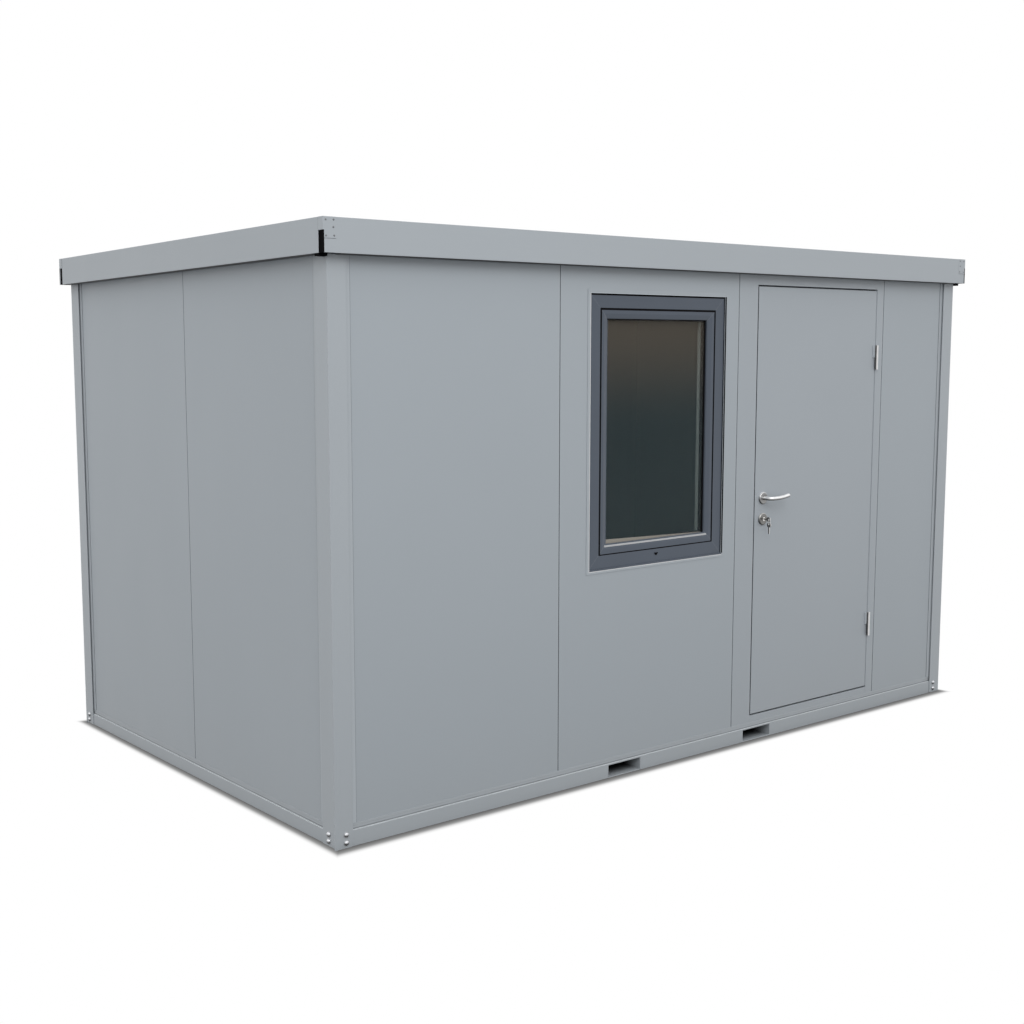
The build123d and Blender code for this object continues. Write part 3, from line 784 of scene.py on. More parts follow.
class Shape:
    """One mesh under construction, in metres in the cabin's frame."""

    bevel_above = math.radians(20)
    smooth_below = math.radians(35)

    def __init__(self) -> None:
        """Start with an empty mesh."""
        self.bm = bmesh.new()

    def bevel(self, verts: Iterable[bmesh.types.BMVert], width: float) -> None:
        """Round every edge between some vertices.

        Args:
            verts: The vertices of one solid.
            width: How wide the rounding is.
        """
        chosen = set(verts)
        edges = {e for v in chosen for e in v.link_edges if e.other_vert(v) in chosen}
        sharp = [e for e in edges if len(e.link_faces) == 2 and e.calc_face_angle() > self.bevel_above]
        bmesh.ops.bevel(
            self.bm,
            geom=sharp,
            offset=width,
            offset_type="OFFSET",
            segments=2,
            profile=0.5,
            affect="EDGES",
            clamp_overlap=True,
            material=-1,
        )

    def box(self, first: Point, second: Point, bevel: float = 0.0) -> "Shape":
        """Add a slab between two opposite corners.

        Args:
            first: One corner.
            second: The corner across from it.
            bevel: The width of its rounded edges.

        Returns:
            This shape.
        """
        low, high = (Vector(corner) for corner in zip(*(sorted(pair) for pair in zip(first, second))))
        verts = bmesh.ops.create_cube(self.bm, size=1.0)["verts"]
        bmesh.ops.scale(self.bm, vec=high - low, verts=verts)
        bmesh.ops.translate(self.bm, vec=(low + high) / 2, verts=verts)
        if bevel:
            self.bevel(verts, bevel)
        return self

    def prism(
        self,
        centre: Vector,
        normal: Vector,
        size: Pair,
        sides: int,
        bevel: float = 0.0,
        top: float = 1.0,
    ) -> None:
        """Add a disc, a hexagon or a cone that stands on a face.

        Args:
            centre: The middle of its foot.
            normal: The way it stands.
            size: Its radius to the corners, and how far it stands out.
            sides: How many sides it has.
            bevel: The width of its rounded edges.
            top: Its radius at the top, as a share of that at the foot.
        """
        radius, height = size
        verts = bmesh.ops.create_cone(
            self.bm, cap_ends=True, segments=sides, radius1=radius, radius2=radius * top, depth=height
        )["verts"]
        self._stand(verts, centre + normal * (height / 2), normal)
        if bevel:
            self.bevel(verts, bevel)

    def _stand(self, verts: Sequence[bmesh.types.BMVert], centre: Vector, normal: Vector) -> None:
        """Turn what was made about the origin, upright, to a normal and move it to a place.

        Args:
            verts: Its vertices.
            centre: Where its middle goes.
            normal: The way its Z axis goes.
        """
        turn = UP.rotation_difference(normal).to_matrix()
        bmesh.ops.rotate(self.bm, verts=verts, cent=(0, 0, 0), matrix=turn)
        bmesh.ops.translate(self.bm, vec=centre, verts=verts)

    def turned(self, profile: Sequence[Pair], centre: Vector, axis: Vector, steps: int) -> None:
        """Add a turned ring.

        Args:
            profile: Its closed half section as (radius, distance along the axis) points.
            centre: Where the axis starts.
            axis: The way the axis runs.
            steps: How many sides it has.
        """
        side = axis.orthogonal().normalized()
        verts = [self.bm.verts.new(centre + side * radius + axis * along) for radius, along in profile]
        edges = [self.bm.edges.new(pair) for pair in zip(verts, [*verts[1:], verts[0]])]
        bmesh.ops.spin(
            self.bm,
            geom=[*verts, *edges],
            cent=centre,
            axis=axis,
            angle=2 * math.pi,
            steps=steps,
            use_merge=True,
        )
        self.weld()

    def circle(self, centre: Vector, normal: Vector, radius: float, sides: int) -> Ring:
        """Start a round bar with an open ring of edges.

        Args:
            centre: The ring's middle.
            normal: The way the bar will run.
            radius: The bar's radius.
            sides: How many sides it has.

        Returns:
            The ring.
        """
        verts = bmesh.ops.create_circle(self.bm, cap_ends=False, radius=radius, segments=sides)["verts"]
        self._stand(verts, centre, normal)
        return list({e for v in verts for e in v.link_edges})

    def push(self, ring: Ring, offset: Vector, scale: float = 1.0) -> Ring:
        """Run a bar straight on.

        Args:
            ring: The bar's last ring.
            offset: How far and which way it goes.
            scale: How wide its end is, as a share of its start.

        Returns:
            The new last ring.
        """
        grown = bmesh.ops.extrude_edge_only(self.bm, edges=ring)["geom"]
        verts = [part for part in grown if isinstance(part, bmesh.types.BMVert)]
        middle = sum((v.co for v in verts), Vector()) / len(verts)
        bmesh.ops.scale(self.bm, vec=(scale,) * 3, space=Matrix.Translation(-middle), verts=verts)
        bmesh.ops.translate(self.bm, vec=offset, verts=verts)
        edges = [part for part in grown if isinstance(part, bmesh.types.BMEdge)]
        return [edge for edge in edges if all(v in verts for v in edge.verts)]

    def bend(self, ring: Ring, centre: Vector, axis: Vector, angle: float, steps: int) -> Ring:
        """Run a bar on round an arc.

        Args:
            ring: The bar's last ring.
            centre: The arc's middle.
            axis: What it turns about.
            angle: How far it turns, in radians.
            steps: How many pieces the arc has.

        Returns:
            The new last ring.
        """
        verts = {v for e in ring for v in e.verts}
        last = bmesh.ops.spin(
            self.bm, geom=[*verts, *ring], cent=centre, axis=axis, angle=angle, steps=steps
        )["geom_last"]
        return [part for part in last if isinstance(part, bmesh.types.BMEdge)]

    def hoop(self, low: Vector, high: Vector, rim: float, bevel: float) -> None:
        """Add a rectangular ring in the front wall's plane, mitred in its corners.

        Args:
            low: Its lowest outer corner, at its front.
            high: Its highest outer corner, at its back.
            rim: How wide its bars are.
            bevel: The width of its rounded edges.
        """
        size = high - low
        verts = bmesh.ops.create_grid(self.bm, x_segments=1, y_segments=1, size=0.5)["verts"]
        quarter = Matrix.Rotation(math.radians(90), 3, "X")
        bmesh.ops.rotate(self.bm, verts=verts, cent=(0, 0, 0), matrix=quarter)
        bmesh.ops.scale(self.bm, vec=(size.x, 1.0, size.z), verts=verts)
        middle = Vector(((low.x + high.x) / 2, low.y, (low.z + high.z) / 2))
        bmesh.ops.translate(self.bm, vec=middle, verts=verts)
        face = verts[0].link_faces[0]
        rims = bmesh.ops.inset_region(
            self.bm, faces=[face], thickness=rim, use_boundary=True, use_even_offset=True
        )["faces"]
        bmesh.ops.delete(self.bm, geom=[face], context="FACES")
        grown = bmesh.ops.extrude_face_region(self.bm, geom=rims)["geom"]
        moved = [part for part in grown if isinstance(part, bmesh.types.BMVert)]
        bmesh.ops.translate(self.bm, vec=(0, size.y, 0), verts=moved)
        ring_verts = {v for f in rims if f.is_valid for v in f.verts} | set(moved)
        ring_faces = {f for v in ring_verts for f in v.link_faces}
        bmesh.ops.recalc_face_normals(self.bm, faces=list(ring_faces))
        self.bevel(ring_verts, bevel)

    def weld(self) -> None:
        """Merge doubled vertices, close open ends and turn the faces outwards."""
        bmesh.ops.remove_doubles(self.bm, verts=self.bm.verts, dist=1e-6)
        bmesh.ops.dissolve_degenerate(self.bm, edges=self.bm.edges, dist=1e-7)
        bmesh.ops.holes_fill(self.bm, edges=[e for e in self.bm.edges if e.is_boundary], sides=0)
        bmesh.ops.recalc_face_normals(self.bm, faces=self.bm.faces)

    def finish(
        self, name: str, body: Body, material: bpy.types.Material, slot: Slot, *replaced: str
    ) -> None:
        """Make the mesh an object that rides on a body.

        Args:
            name: The piece's name.
            body: The body that it moves with.
            material: What it is dressed in.
            slot: The record's slot that its finish comes from; not used.
            replaced: The CAD nodes that it stands for.
        """
        mesh = bpy.data.meshes.new(name)
        for edge in self.bm.edges:
            edge.smooth = len(edge.link_faces) == 2 and edge.calc_face_angle() < self.smooth_below
        for face in self.bm.faces:
            face.smooth = True
        self.bm.to_mesh(mesh)
        self.bm.free()
        made = bpy.data.objects.new(name, mesh)
        bpy.context.scene.collection.objects.link(made)
        mesh.materials.append(material)
        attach(made, body.value)
        if replaced:
            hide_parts(*replaced)
        flatten(made)
        LOG.info("%s: %d faces on %s", name, len(mesh.polygons), body.value)


# Places taken from the frame


@dataclass(frozen=True)
class Places:
    """The cabin's main planes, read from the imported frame."""

    half_length: float
    half_depth: float
    wall_recess: float
    wall_inside: float
    ceiling: float
    fold_height: float
    fascia_bottom: float

    @classmethod
    def from_frame(cls) -> "Places":
        """Read the planes from a post, a panel and the fascia.

        Returns:
            The planes.
        """
        post_low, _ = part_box("front_left_post")
        panel_low, panel_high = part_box("front_plain_panel")
        fascia_low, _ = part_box("front_fascia")
        return cls(
            half_length=-post_low.x,
            half_depth=-post_low.y,
            wall_recess=panel_low.y - post_low.y,
            wall_inside=panel_high.y - post_low.y,
            ceiling=panel_high.z,
            fold_height=panel_low.z,
            fascia_bottom=fascia_low.z,
        )

    @staticmethod
    def corners() -> list[tuple[int, int]]:
        """The signs of X and Y at the four corners."""
        return [(side, end) for side in (-1, 1) for end in (-1, 1)]

    def strip_ends(self) -> Pair:
        """The heights between which a sealing strip runs up a wall."""
        return self.fold_height + RAIL_LIP + MM, self.fascia_bottom - MM

    @staticmethod
    def pane() -> tuple[Vector, Vector]:
        """Find the part of the glass that the sash leaves in view.

        Returns:
            Its lowest corner on the front and its highest on the back.
        """
        low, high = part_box("window_glass")
        cover = Vector((GLASS_COVER, 0, GLASS_COVER))
        return low + cover, high - cover


# Sub-assemblies


@dataclass
class Palette:
    """All the finishes of the cabin, made once."""

    places: Places
    frame_colour: Colour = (0.345, 0.375, 0.402)
    wall_colour: Colour = (0.325, 0.358, 0.388)
    door_colour: Colour = (0.327, 0.358, 0.388)
    lining_colour: Colour = (0.55, 0.57, 0.57)
    lining_inset: float = 2 * MM
    # Painted light: the hinge lugs get the door's colour made lighter by this factor.
    lug_light_gain: float = 1.14
    # Painted light: grey levels, by how far a face turns to its lit side, that each metal's colour is
    # multiplied by.
    sky_tones: Tones = ((0.0, 0.10), (0.3, 0.14), (0.5, 0.41), (0.68, 1.0), (0.85, 1.4))
    lever_tones: Tones = ((0.0, 0.10), (0.26, 0.15), (0.42, 0.44), (0.56, 0.95), (0.70, 1.22))
    key_tones: Tones = ((0.3, 0.2), (0.5, 0.5), (0.72, 1.5))
    bolt_tones: Tones = ((0.1, 0.08), (0.4, 0.2), (0.54, 0.7), (0.7, 1.3))
    hinge_tones: Tones = ((0.0, 0.16), (0.26, 0.12), (0.36, 0.45), (0.48, 0.85), (1.0, 0.8))
    made: dict[str, bpy.types.Material] = field(default_factory=dict)

    def build(self) -> None:
        """Make every material."""
        for finishes in (self.paints(), self.metals(), self.window(), self.other()):
            for key, finish in finishes.items():
                self.made[key.value] = finish.material()

    def __getitem__(self, key: Union[Slot, Extra]) -> bpy.types.Material:
        """The material of a slot, or of one of the extra finishes."""
        return self.made[key.value]

    def paints(self) -> dict[Enum, Finish]:
        """The paints of the frame, the walls, the door, the base and the roof.

        Returns:
            The finishes by their slots.
        """
        room = self.places.wall_inside - self.lining_inset
        halves = {"half_length": self.places.half_length, "half_depth": self.places.half_depth}
        lining = {
            "lining": self.lining_colour,
            "half_length": self.places.half_length - room,
            "half_depth": self.places.half_depth - room,
            "ceiling": self.places.ceiling + self.lining_inset,
        }
        fold = {"fold_height": self.places.fold_height}
        return {
            Slot.FRAME: Paint("frame paint", self.frame_colour, 0.40),
            Slot.WALL: LinedPaint("wall coating", self.wall_colour, 0.42, **lining),
            Slot.DOOR: LinedPaint("door paint", self.door_colour, 0.40, **lining),
            Slot.BASE: Paint("base paint", self.frame_colour, 0.44, cloud=0.04),
            Slot.ROOF: LinedPaint("roof coating", (0.42, 0.44, 0.45), 0.5, **lining),
            Extra.RAIL: RailPaint("rail paint", self.frame_colour, 0.44, cloud=0.035, **fold),
            Extra.POCKET: PocketPaint("pocket paint", self.frame_colour, 0.5, mouth=self.places.half_depth),
            Extra.POST: PostPaint("post paint", self.frame_colour, 0.40, **halves),
        }

    def metals(self) -> dict[Enum, Finish]:
        """The bare metals of hinges, lever, roses, lock, bolts and screws.

        Returns:
            The finishes by their slots.
        """
        hinge = {
            "lit_side": (0.8, -0.6, 0.0),
            "tones": self.hinge_tones,
            "metallic": 0.6,
            "axis": (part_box("door_frame_hinges")[0].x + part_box("door_leaf_hinges")[1].x) / 2,
            "paint": tuple(self.lug_light_gain * part for part in self.door_colour),
        }
        lock = {"lit_side": (0.3, -0.6, 0.74), "tones": self.key_tones, "metallic": 0.85}
        zinc = {"tones": self.sky_tones, "wear": 0.16, "grain_scale": 300.0}
        satin = {"tones": self.sky_tones, "metallic": 0.8}
        lever = {"tones": self.lever_tones, "metallic": 0.7}
        bolt = {"tones": self.bolt_tones, "metallic": 0.7}
        return {
            Slot.HINGE: HingeSteel("hinge steel", (0.80, 0.80, 0.80), 0.38, **hinge),
            Slot.SATIN: Metal("satin steel", (0.70, 0.70, 0.70), 0.30, **satin),
            Slot.LOCK: Metal("nickel plate", (0.60, 0.595, 0.58), 0.36, **lock),
            Extra.ZINC: Metal("galvanised steel", (0.46, 0.48, 0.50), 0.36, **zinc),
            Extra.LEVER: Metal("satin lever", (0.80, 0.80, 0.80), 0.34, **lever),
            Extra.BOLT: Metal("zinc bolts", (0.58, 0.59, 0.61), 0.38, **bolt),
            Extra.WORN: Metal("worn steel", (0.49, 0.485, 0.47), 0.32, **satin),
        }

    def window(self) -> dict[Enum, Finish]:
        """The finishes of the window's bars and its glass.

        Returns:
            The finishes by their slots.
        """
        trim_low, trim_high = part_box("window_trim")
        glass_low, glass_high = self.places.pane()
        pane = {"low": tuple(glass_low), "high": tuple(glass_high)}
        bars = {
            "centre": ((trim_low.x + trim_high.x) / 2, (trim_low.z + trim_high.z) / 2),
            "half_size": ((trim_high.x - trim_low.x) / 2, (trim_high.z - trim_low.z) / 2),
        }
        frame = {"specular": 0.3, "inside_from": glass_low.y + MM, "inside": (0.34, 0.39, 0.37), **bars}
        trim = {"seam_colour": (0.22, 0.23, 0.25), "lit_rim": 15.5 * MM, **bars}
        inner = {"seam_colour": (0.4, 0.4, 0.39), **bars}
        return {
            Slot.PLASTIC: MitredPlastic("anthracite plastic", (0.070, 0.085, 0.110), 0.38, **frame),
            Slot.TRIM: MitredPlastic("trim paint", self.wall_colour, 0.40, **trim),
            Slot.INNER_TRIM: MitredPlastic("inner trim", (0.70, 0.70, 0.68), 0.4, **inner),
            Slot.GLASS: WindowGlass("window glass", (0.050, 0.086, 0.097), 0.02, **pane),
        }

    def other(self) -> dict[Enum, Finish]:
        """The floor's finishes, and the rubbers and plastics.

        Returns:
            The finishes by their slots.
        """
        return {
            Slot.FLOOR_CORE: Board("floor plywood", (0.42, 0.29, 0.16), 0.6),
            Slot.FLOOR_FINISH: SheetVinyl("floor vinyl", (0.15, 0.155, 0.16), 0.45),
            Slot.SPACER: Moulded("spacer bar", (0.035, 0.035, 0.036), 0.5),
            Slot.DRAIN: Moulded("drain plastic", (0.0025, 0.0025, 0.003), 0.6, specular=0.02),
            Extra.RUBBER: Moulded("seal rubber", (0.005, 0.005, 0.006), 0.65, specular=0.03),
            Extra.SEALANT: Moulded("joint sealant", (0.22, 0.24, 0.26), 0.5),
            Extra.CAULK: Moulded("white caulk", (0.56, 0.57, 0.58), 0.5),
            Extra.BEAD: Moulded("glazing bead", (0.42, 0.43, 0.44), 0.4),
        }


NODE_SLOTS: dict[Slot, tuple[str, ...]] = {
    Slot.FRAME: ("_base_rail", "_post", "_fascia", "fascia_corner_brackets"),
    Slot.BASE: ("fork_pockets", "floor_joists"),
    Slot.WALL: ("_panel", "rear_panel_"),
    Slot.DOOR: ("door_leaf", "door_lock_jamb", "door_hinge_jamb", "door_head", "door_threshold"),
    Slot.HINGE: ("door_leaf_hinges", "door_frame_hinges"),
    Slot.SATIN: ("lever_handle", "lever_roses", "lock_roses"),
    Slot.LOCK: ("lock_cylinder", "door_key"),
    Slot.PLASTIC: ("window_frame", "window_sash"),
    Slot.TRIM: ("window_trim",),
    Slot.INNER_TRIM: ("window_inner_trim", "window_handle"),
    Slot.GLASS: ("window_glass",),
    Slot.SPACER: ("glazing_spacer",),
    Slot.DRAIN: ("fascia_corner_drains",),
    Slot.FLOOR_CORE: ("floor_panel",),
    Slot.FLOOR_FINISH: ("floor_board",),
    Slot.ROOF: ("roof_panel_",),
}
OWN_FINISHES = {"_base_rail": Extra.RAIL, "_post": Extra.POST, "fork_pockets": Extra.POCKET}
SOFT_EDGES = {
    "_post": 0.9 * MM,
    "_fascia": 0.8 * MM,
    "_base_rail": 0.6 * MM,
    "fork_pockets": 0.8 * MM,
    "door_threshold": 1.0 * MM,
    "window_frame": 1.0 * MM,
    "window_sash": 0.8 * MM,
    "window_handle": 1.5 * MM,
}


@dataclass
class Shell:
    """The CAD nodes that stay in view: their finishes and their softened edges."""

    palette: Palette
    weld_distance: float = 0.01 * MM
    bevel_angle: float = math.radians(30)

    def dress(self, nodes: Mapping[str, bpy.types.Object]) -> None:
        """Give every CAD node its finish, and folded or extruded ones soft edges.

        Args:
            nodes: The frame's CAD nodes by name.
        """
        for name, node in nodes.items():
            slot = self.slot_of(name)
            own = next((key for part, key in OWN_FINISHES.items() if name.endswith(part)), slot)
            node.data.materials.clear()
            node.data.materials.append(self.palette[own])
            width = next((w for part, w in SOFT_EDGES.items() if name.endswith(part)), 0.0)
            if width:
                self.soften(node, width)
            LOG.info("%s: dressed as %s", name, own.value)

    @staticmethod
    def slot_of(name: str) -> Slot:
        """The slot of a node, by the longest part of its name that a slot lists."""
        fits = [(len(part), slot) for slot, parts in NODE_SLOTS.items() for part in parts if part in name]
        return max(fits, key=lambda fit: fit[0])[1]

    def soften(self, node: bpy.types.Object, width: float) -> None:
        """Round a node's sharp edges with modifiers, which leave its own mesh as it is.

        Args:
            node: The CAD node.
            width: How wide the rounding is.
        """
        weld = node.modifiers.new("weld", "WELD")
        weld.merge_threshold = self.weld_distance
        bevel = node.modifiers.new("soft edges", "BEVEL")
        bevel.width = width
        bevel.segments = 2
        bevel.limit_method = "ANGLE"
        bevel.angle_limit = self.bevel_angle
        flatten(node)


@dataclass
class Fasteners:
    """Bolts in the post feet, riveted brackets at the fascia corners and screws in the roof sheets."""

    places: Places
    palette: Palette
    nodes: Mapping[str, bpy.types.Object]
    bolt_from_corner: Pair = (51 * MM, 41 * MM)
    bolt_heights: tuple[Pair, Pair] = ((51.5 * MM, 20.5 * MM), (53 * MM, 27 * MM))
    bolt_sides: int = 24
    washer: Pair = (11.5 * MM, 1.6 * MM)
    washer_bevel: float = 0.3 * MM
    head: Pair = (9.5 * MM, 6.5 * MM)
    head_flat: float = 0.5 * MM
    bracket_sheet: float = 0.8 * MM
    bracket_bevel: float = 0.25 * MM
    bracket_front: Pair = (55 * MM, 74.5 * MM)
    bracket_end: Pair = (30 * MM, 46 * MM)
    rivet: Pair = (4.2 * MM, 0.6 * MM)
    rivet_top: float = 0.6
    rivet_sides: int = 16
    rivet_spots: tuple[Pair, ...] = (
        (12 * MM, 10.5 * MM),
        (45 * MM, 9.5 * MM),
        (44 * MM, 35.5 * MM),
        (13 * MM, 65.5 * MM),
        (47 * MM, 64.5 * MM),
    )
    line_width: float = 0.9 * MM
    line_sheet: float = 0.4 * MM
    drain_lip: float = 5 * MM
    lip_sheet: float = 1.0 * MM
    screw_rows: int = 3
    screw_edge: float = 120 * MM
    screw_washer: Pair = (8 * MM, 1.5 * MM)
    screw_head: Pair = (4.4 * MM, 2.2 * MM)
    screw_washer_sides: int = 12
    screw_head_sides: int = 6

    def build(self) -> None:
        """Make all three kinds."""
        self.post_bolts()
        self.corner_brackets()
        self.roof_screws()

    def post_bolts(self) -> None:
        """Two domed bolts on washers in each face of each post foot."""
        radius, height = self.head
        crown = [(radius * math.cos(a), height * math.sin(a)) for a in angles(80, 16)]
        dome = [(self.head_flat, 0.0), *crown, (self.head_flat, height)]
        shape = Shape()
        for side, end in self.places.corners():
            corner = Vector((side * self.places.half_length, end * self.places.half_depth, 0.0))
            ways = (
                (Vector((0, end, 0)), Vector((-side, 0, 0))),
                (Vector((side, 0, 0)), Vector((0, -end, 0))),
            )
            for (normal, along), distance, heights in zip(ways, self.bolt_from_corner, self.bolt_heights):
                for up in heights:
                    spot = corner + along * distance + Vector((0, 0, up))
                    shape.prism(spot, normal, self.washer, self.bolt_sides, self.washer_bevel)
                    shape.turned(dome, spot + normal * self.washer[1], normal, self.bolt_sides)
        shape.finish("post_bolts", Body.CABIN, self.palette[Extra.BOLT], Slot.BASE)

    def corner_brackets(self) -> None:
        """A thin riveted angle over each fascia corner, with black lines along two of its edges as painted
        shade.
        """
        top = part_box("front_fascia")[1].z
        face_x, face_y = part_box("right_fascia")[1].x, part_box("rear_fascia")[1].y
        plates, rivets, lines = Shape(), Shape(), Shape()
        for side, end in self.places.corners():
            corner = Vector((side * face_x, end * face_y, top))
            front_leg = corner + Vector((-side * self.bracket_front[0], 0, -self.bracket_front[1]))
            end_leg = corner + Vector((0, -end * self.bracket_end[0], -self.bracket_end[1]))
            out_x, out_y = Vector((side, 0, 0)), Vector((0, end, 0))
            sheet = self.bracket_sheet
            plates.box(corner + out_x * sheet, front_leg + out_y * sheet, self.bracket_bevel)
            plates.box(corner, end_leg + out_x * sheet, self.bracket_bevel)
            self._bracket_lines(lines, corner, front_leg, end_leg, (out_x, out_y))
            for from_corner, drop in self.rivet_spots:
                spot = corner + out_y * sheet + Vector((-side * from_corner, 0, -drop))
                rivets.prism(spot, out_y, self.rivet, self.rivet_sides, top=self.rivet_top)
        rivets.finish("bracket_rivets", Body.CABIN, self.palette[Extra.ZINC], Slot.FRAME)
        # The lines under and behind the bracket legs are painted shade.
        lines.finish("corner_shade_lines_and_lips", Body.CABIN, self.palette[Extra.RUBBER], Slot.DRAIN)
        paint = self.palette[Slot.FRAME]
        plates.finish("corner_brackets", Body.CABIN, paint, Slot.FRAME, "fascia_corner_brackets")

    def _bracket_lines(
        self,
        lines: Shape,
        corner: Vector,
        front_leg: Vector,
        end_leg: Vector,
        outwards: tuple[Vector, Vector],
    ) -> None:
        """Add the black lines at one bracket, under its front leg and behind its end leg, which are painted
        shade, and the drain's lip.

        Args:
            lines: The mesh that they go into.
            corner: The fascia's corner at its top.
            front_leg: The far foot of the bracket's front leg.
            end_leg: The far foot of its end leg.
            outwards: The ways out of the end face and of the front or rear face.
        """
        out_x, out_y = outwards
        drain_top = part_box("fascia_corner_drains")[1].z
        under = front_leg + out_y * self.line_sheet - UP * self.line_width
        lines.box((corner.x, corner.y, front_leg.z), under)
        edge = Vector((corner.x, end_leg.y, drain_top))
        lines.box((edge.x, edge.y, corner.z), edge + out_x * self.line_sheet - out_y * self.line_width)
        lip_top = Vector((corner.x, corner.y, drain_top)) + out_x * self.lip_sheet
        lip_foot = Vector((corner.x, corner.y, self.places.fascia_bottom)) - out_x * self.drain_lip
        lines.box(lip_top, lip_foot + out_y * self.lip_sheet)

    def roof_screws(self) -> None:
        """Rows of screws with sealing washers on the crests of the roof ribs."""
        shape = Shape()
        for name in sorted(name for name in self.nodes if name.startswith("roof_panel_")):
            low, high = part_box(name)
            crest_verts = [v.co.x for v in self.nodes[name].data.vertices if v.co.z > high.z - MM]
            crests = sorted({round(x, 4) for x in crest_verts})
            for left, right in zip(crests[::2], crests[1::2]):
                for row in range(self.screw_rows):
                    share = row / (self.screw_rows - 1)
                    across = low.y + self.screw_edge + share * (high.y - low.y - 2 * self.screw_edge)
                    spot = Vector(((left + right) / 2, across, high.z))
                    shape.prism(spot, UP, self.screw_washer, self.screw_washer_sides)
                    seat = spot + UP * self.screw_washer[1]
                    shape.prism(seat, UP, self.screw_head, self.screw_head_sides)
        shape.finish("roof_screws", Body.CABIN, self.palette[Extra.ZINC], Slot.ROOF)


@dataclass
class Seals:
    """The strips of the shell: sealing strips at panel joints and post edges, and a dark strip under the
    fascia that is painted shade for its shaded underside.
    """

    places: Places
    palette: Palette
    joint_width: float = 2.4 * MM
    joint_sunk: float = 0.9 * MM
    joint_depth: float = 0.5 * MM
    half_gap: float = 0.5 * MM
    post_leg: float = 102.3 * MM
    bead: Pair = (2.2 * MM, 1.5 * MM)
    shade_strip_gap: float = 0.3 * MM
    shade_strip_reach: float = 35 * MM
    shade_strip_height: float = 2.5 * MM
    shade_strip_end: float = 38 * MM

    def build(self) -> None:
        """Make the strips, one piece for each kind."""
        rubber, sealant, shade_strip = (self.palette[key] for key in (Extra.RUBBER, Extra.SEALANT, Slot.SPACER))
        self.panel_joints().finish("panel_seals", Body.CABIN, rubber, Slot.DRAIN)
        self.post_beads().finish("post_beads", Body.CABIN, sealant, Slot.DRAIN)
        # The strip under the fascia is painted shade for its shaded underside.
        self.fascia_shade_strips().finish("fascia_shade_strips", Body.CABIN, shade_strip, Slot.DRAIN)

    def panel_joints(self) -> Shape:
        """A strip in the groove of every joint between two panels.

        Returns:
            The strips.
        """
        shape = Shape()
        half = self.joint_width / 2
        sunk = self.places.wall_recess + self.joint_sunk
        face_x, face_y = self.places.half_length - sunk, self.places.half_depth - sunk
        back_x, back_y = face_x - self.joint_depth, face_y - self.joint_depth
        foot, head = self.places.strip_ends()
        for name in ("front_window_panel", "door_lock_jamb", "front_narrow_panel"):
            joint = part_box(name)[0].x - self.half_gap
            for side in (-1, 1):
                shape.box((joint - half, side * face_y, foot), (joint + half, side * back_y, head))
        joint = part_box("right_rear_panel")[0].y - self.half_gap
        for side in (-1, 1):
            shape.box((side * face_x, joint - half, foot), (side * back_x, joint + half, head))
        return shape

    def post_beads(self) -> Shape:
        """A bead of sealant where each post's inner angle ends on the wall.

        Returns:
            The beads.
        """
        shape = Shape()
        width, height = self.bead
        foot, head = self.places.strip_ends()
        leg_x, leg_y = self.places.half_length - self.post_leg, self.places.half_depth - self.post_leg
        wall_x = self.places.half_length - self.places.wall_recess
        wall_y = self.places.half_depth - self.places.wall_recess
        for side, end in self.places.corners():
            front = (side * (leg_x - width), end * (wall_y + height), head)
            shape.box((side * leg_x, end * wall_y, foot), front)
            beside = (side * (wall_x + height), end * (leg_y - width), head)
            shape.box((side * wall_x, end * leg_y, foot), beside)
        return shape

    def fascia_shade_strips(self) -> Shape:
        """A flat dark strip under the fascia on each side, between the corner drains: painted shade for the
        fascia's shaded underside.

        Returns:
            The strips.
        """
        shape = Shape()
        length, depth = self.places.half_length, self.places.half_depth
        near, far = self.shade_strip_gap, self.shade_strip_reach
        low, high = self.places.fascia_bottom - self.shade_strip_height, self.places.fascia_bottom
        for sign in (-1, 1):
            end = length - self.shade_strip_end
            shape.box((-end, sign * (depth + near), low), (end, sign * (depth + far), high))
            end = depth - self.shade_strip_end
            shape.box((sign * (length + near), -end, low), (sign * (length + far), end, high))
        return shape


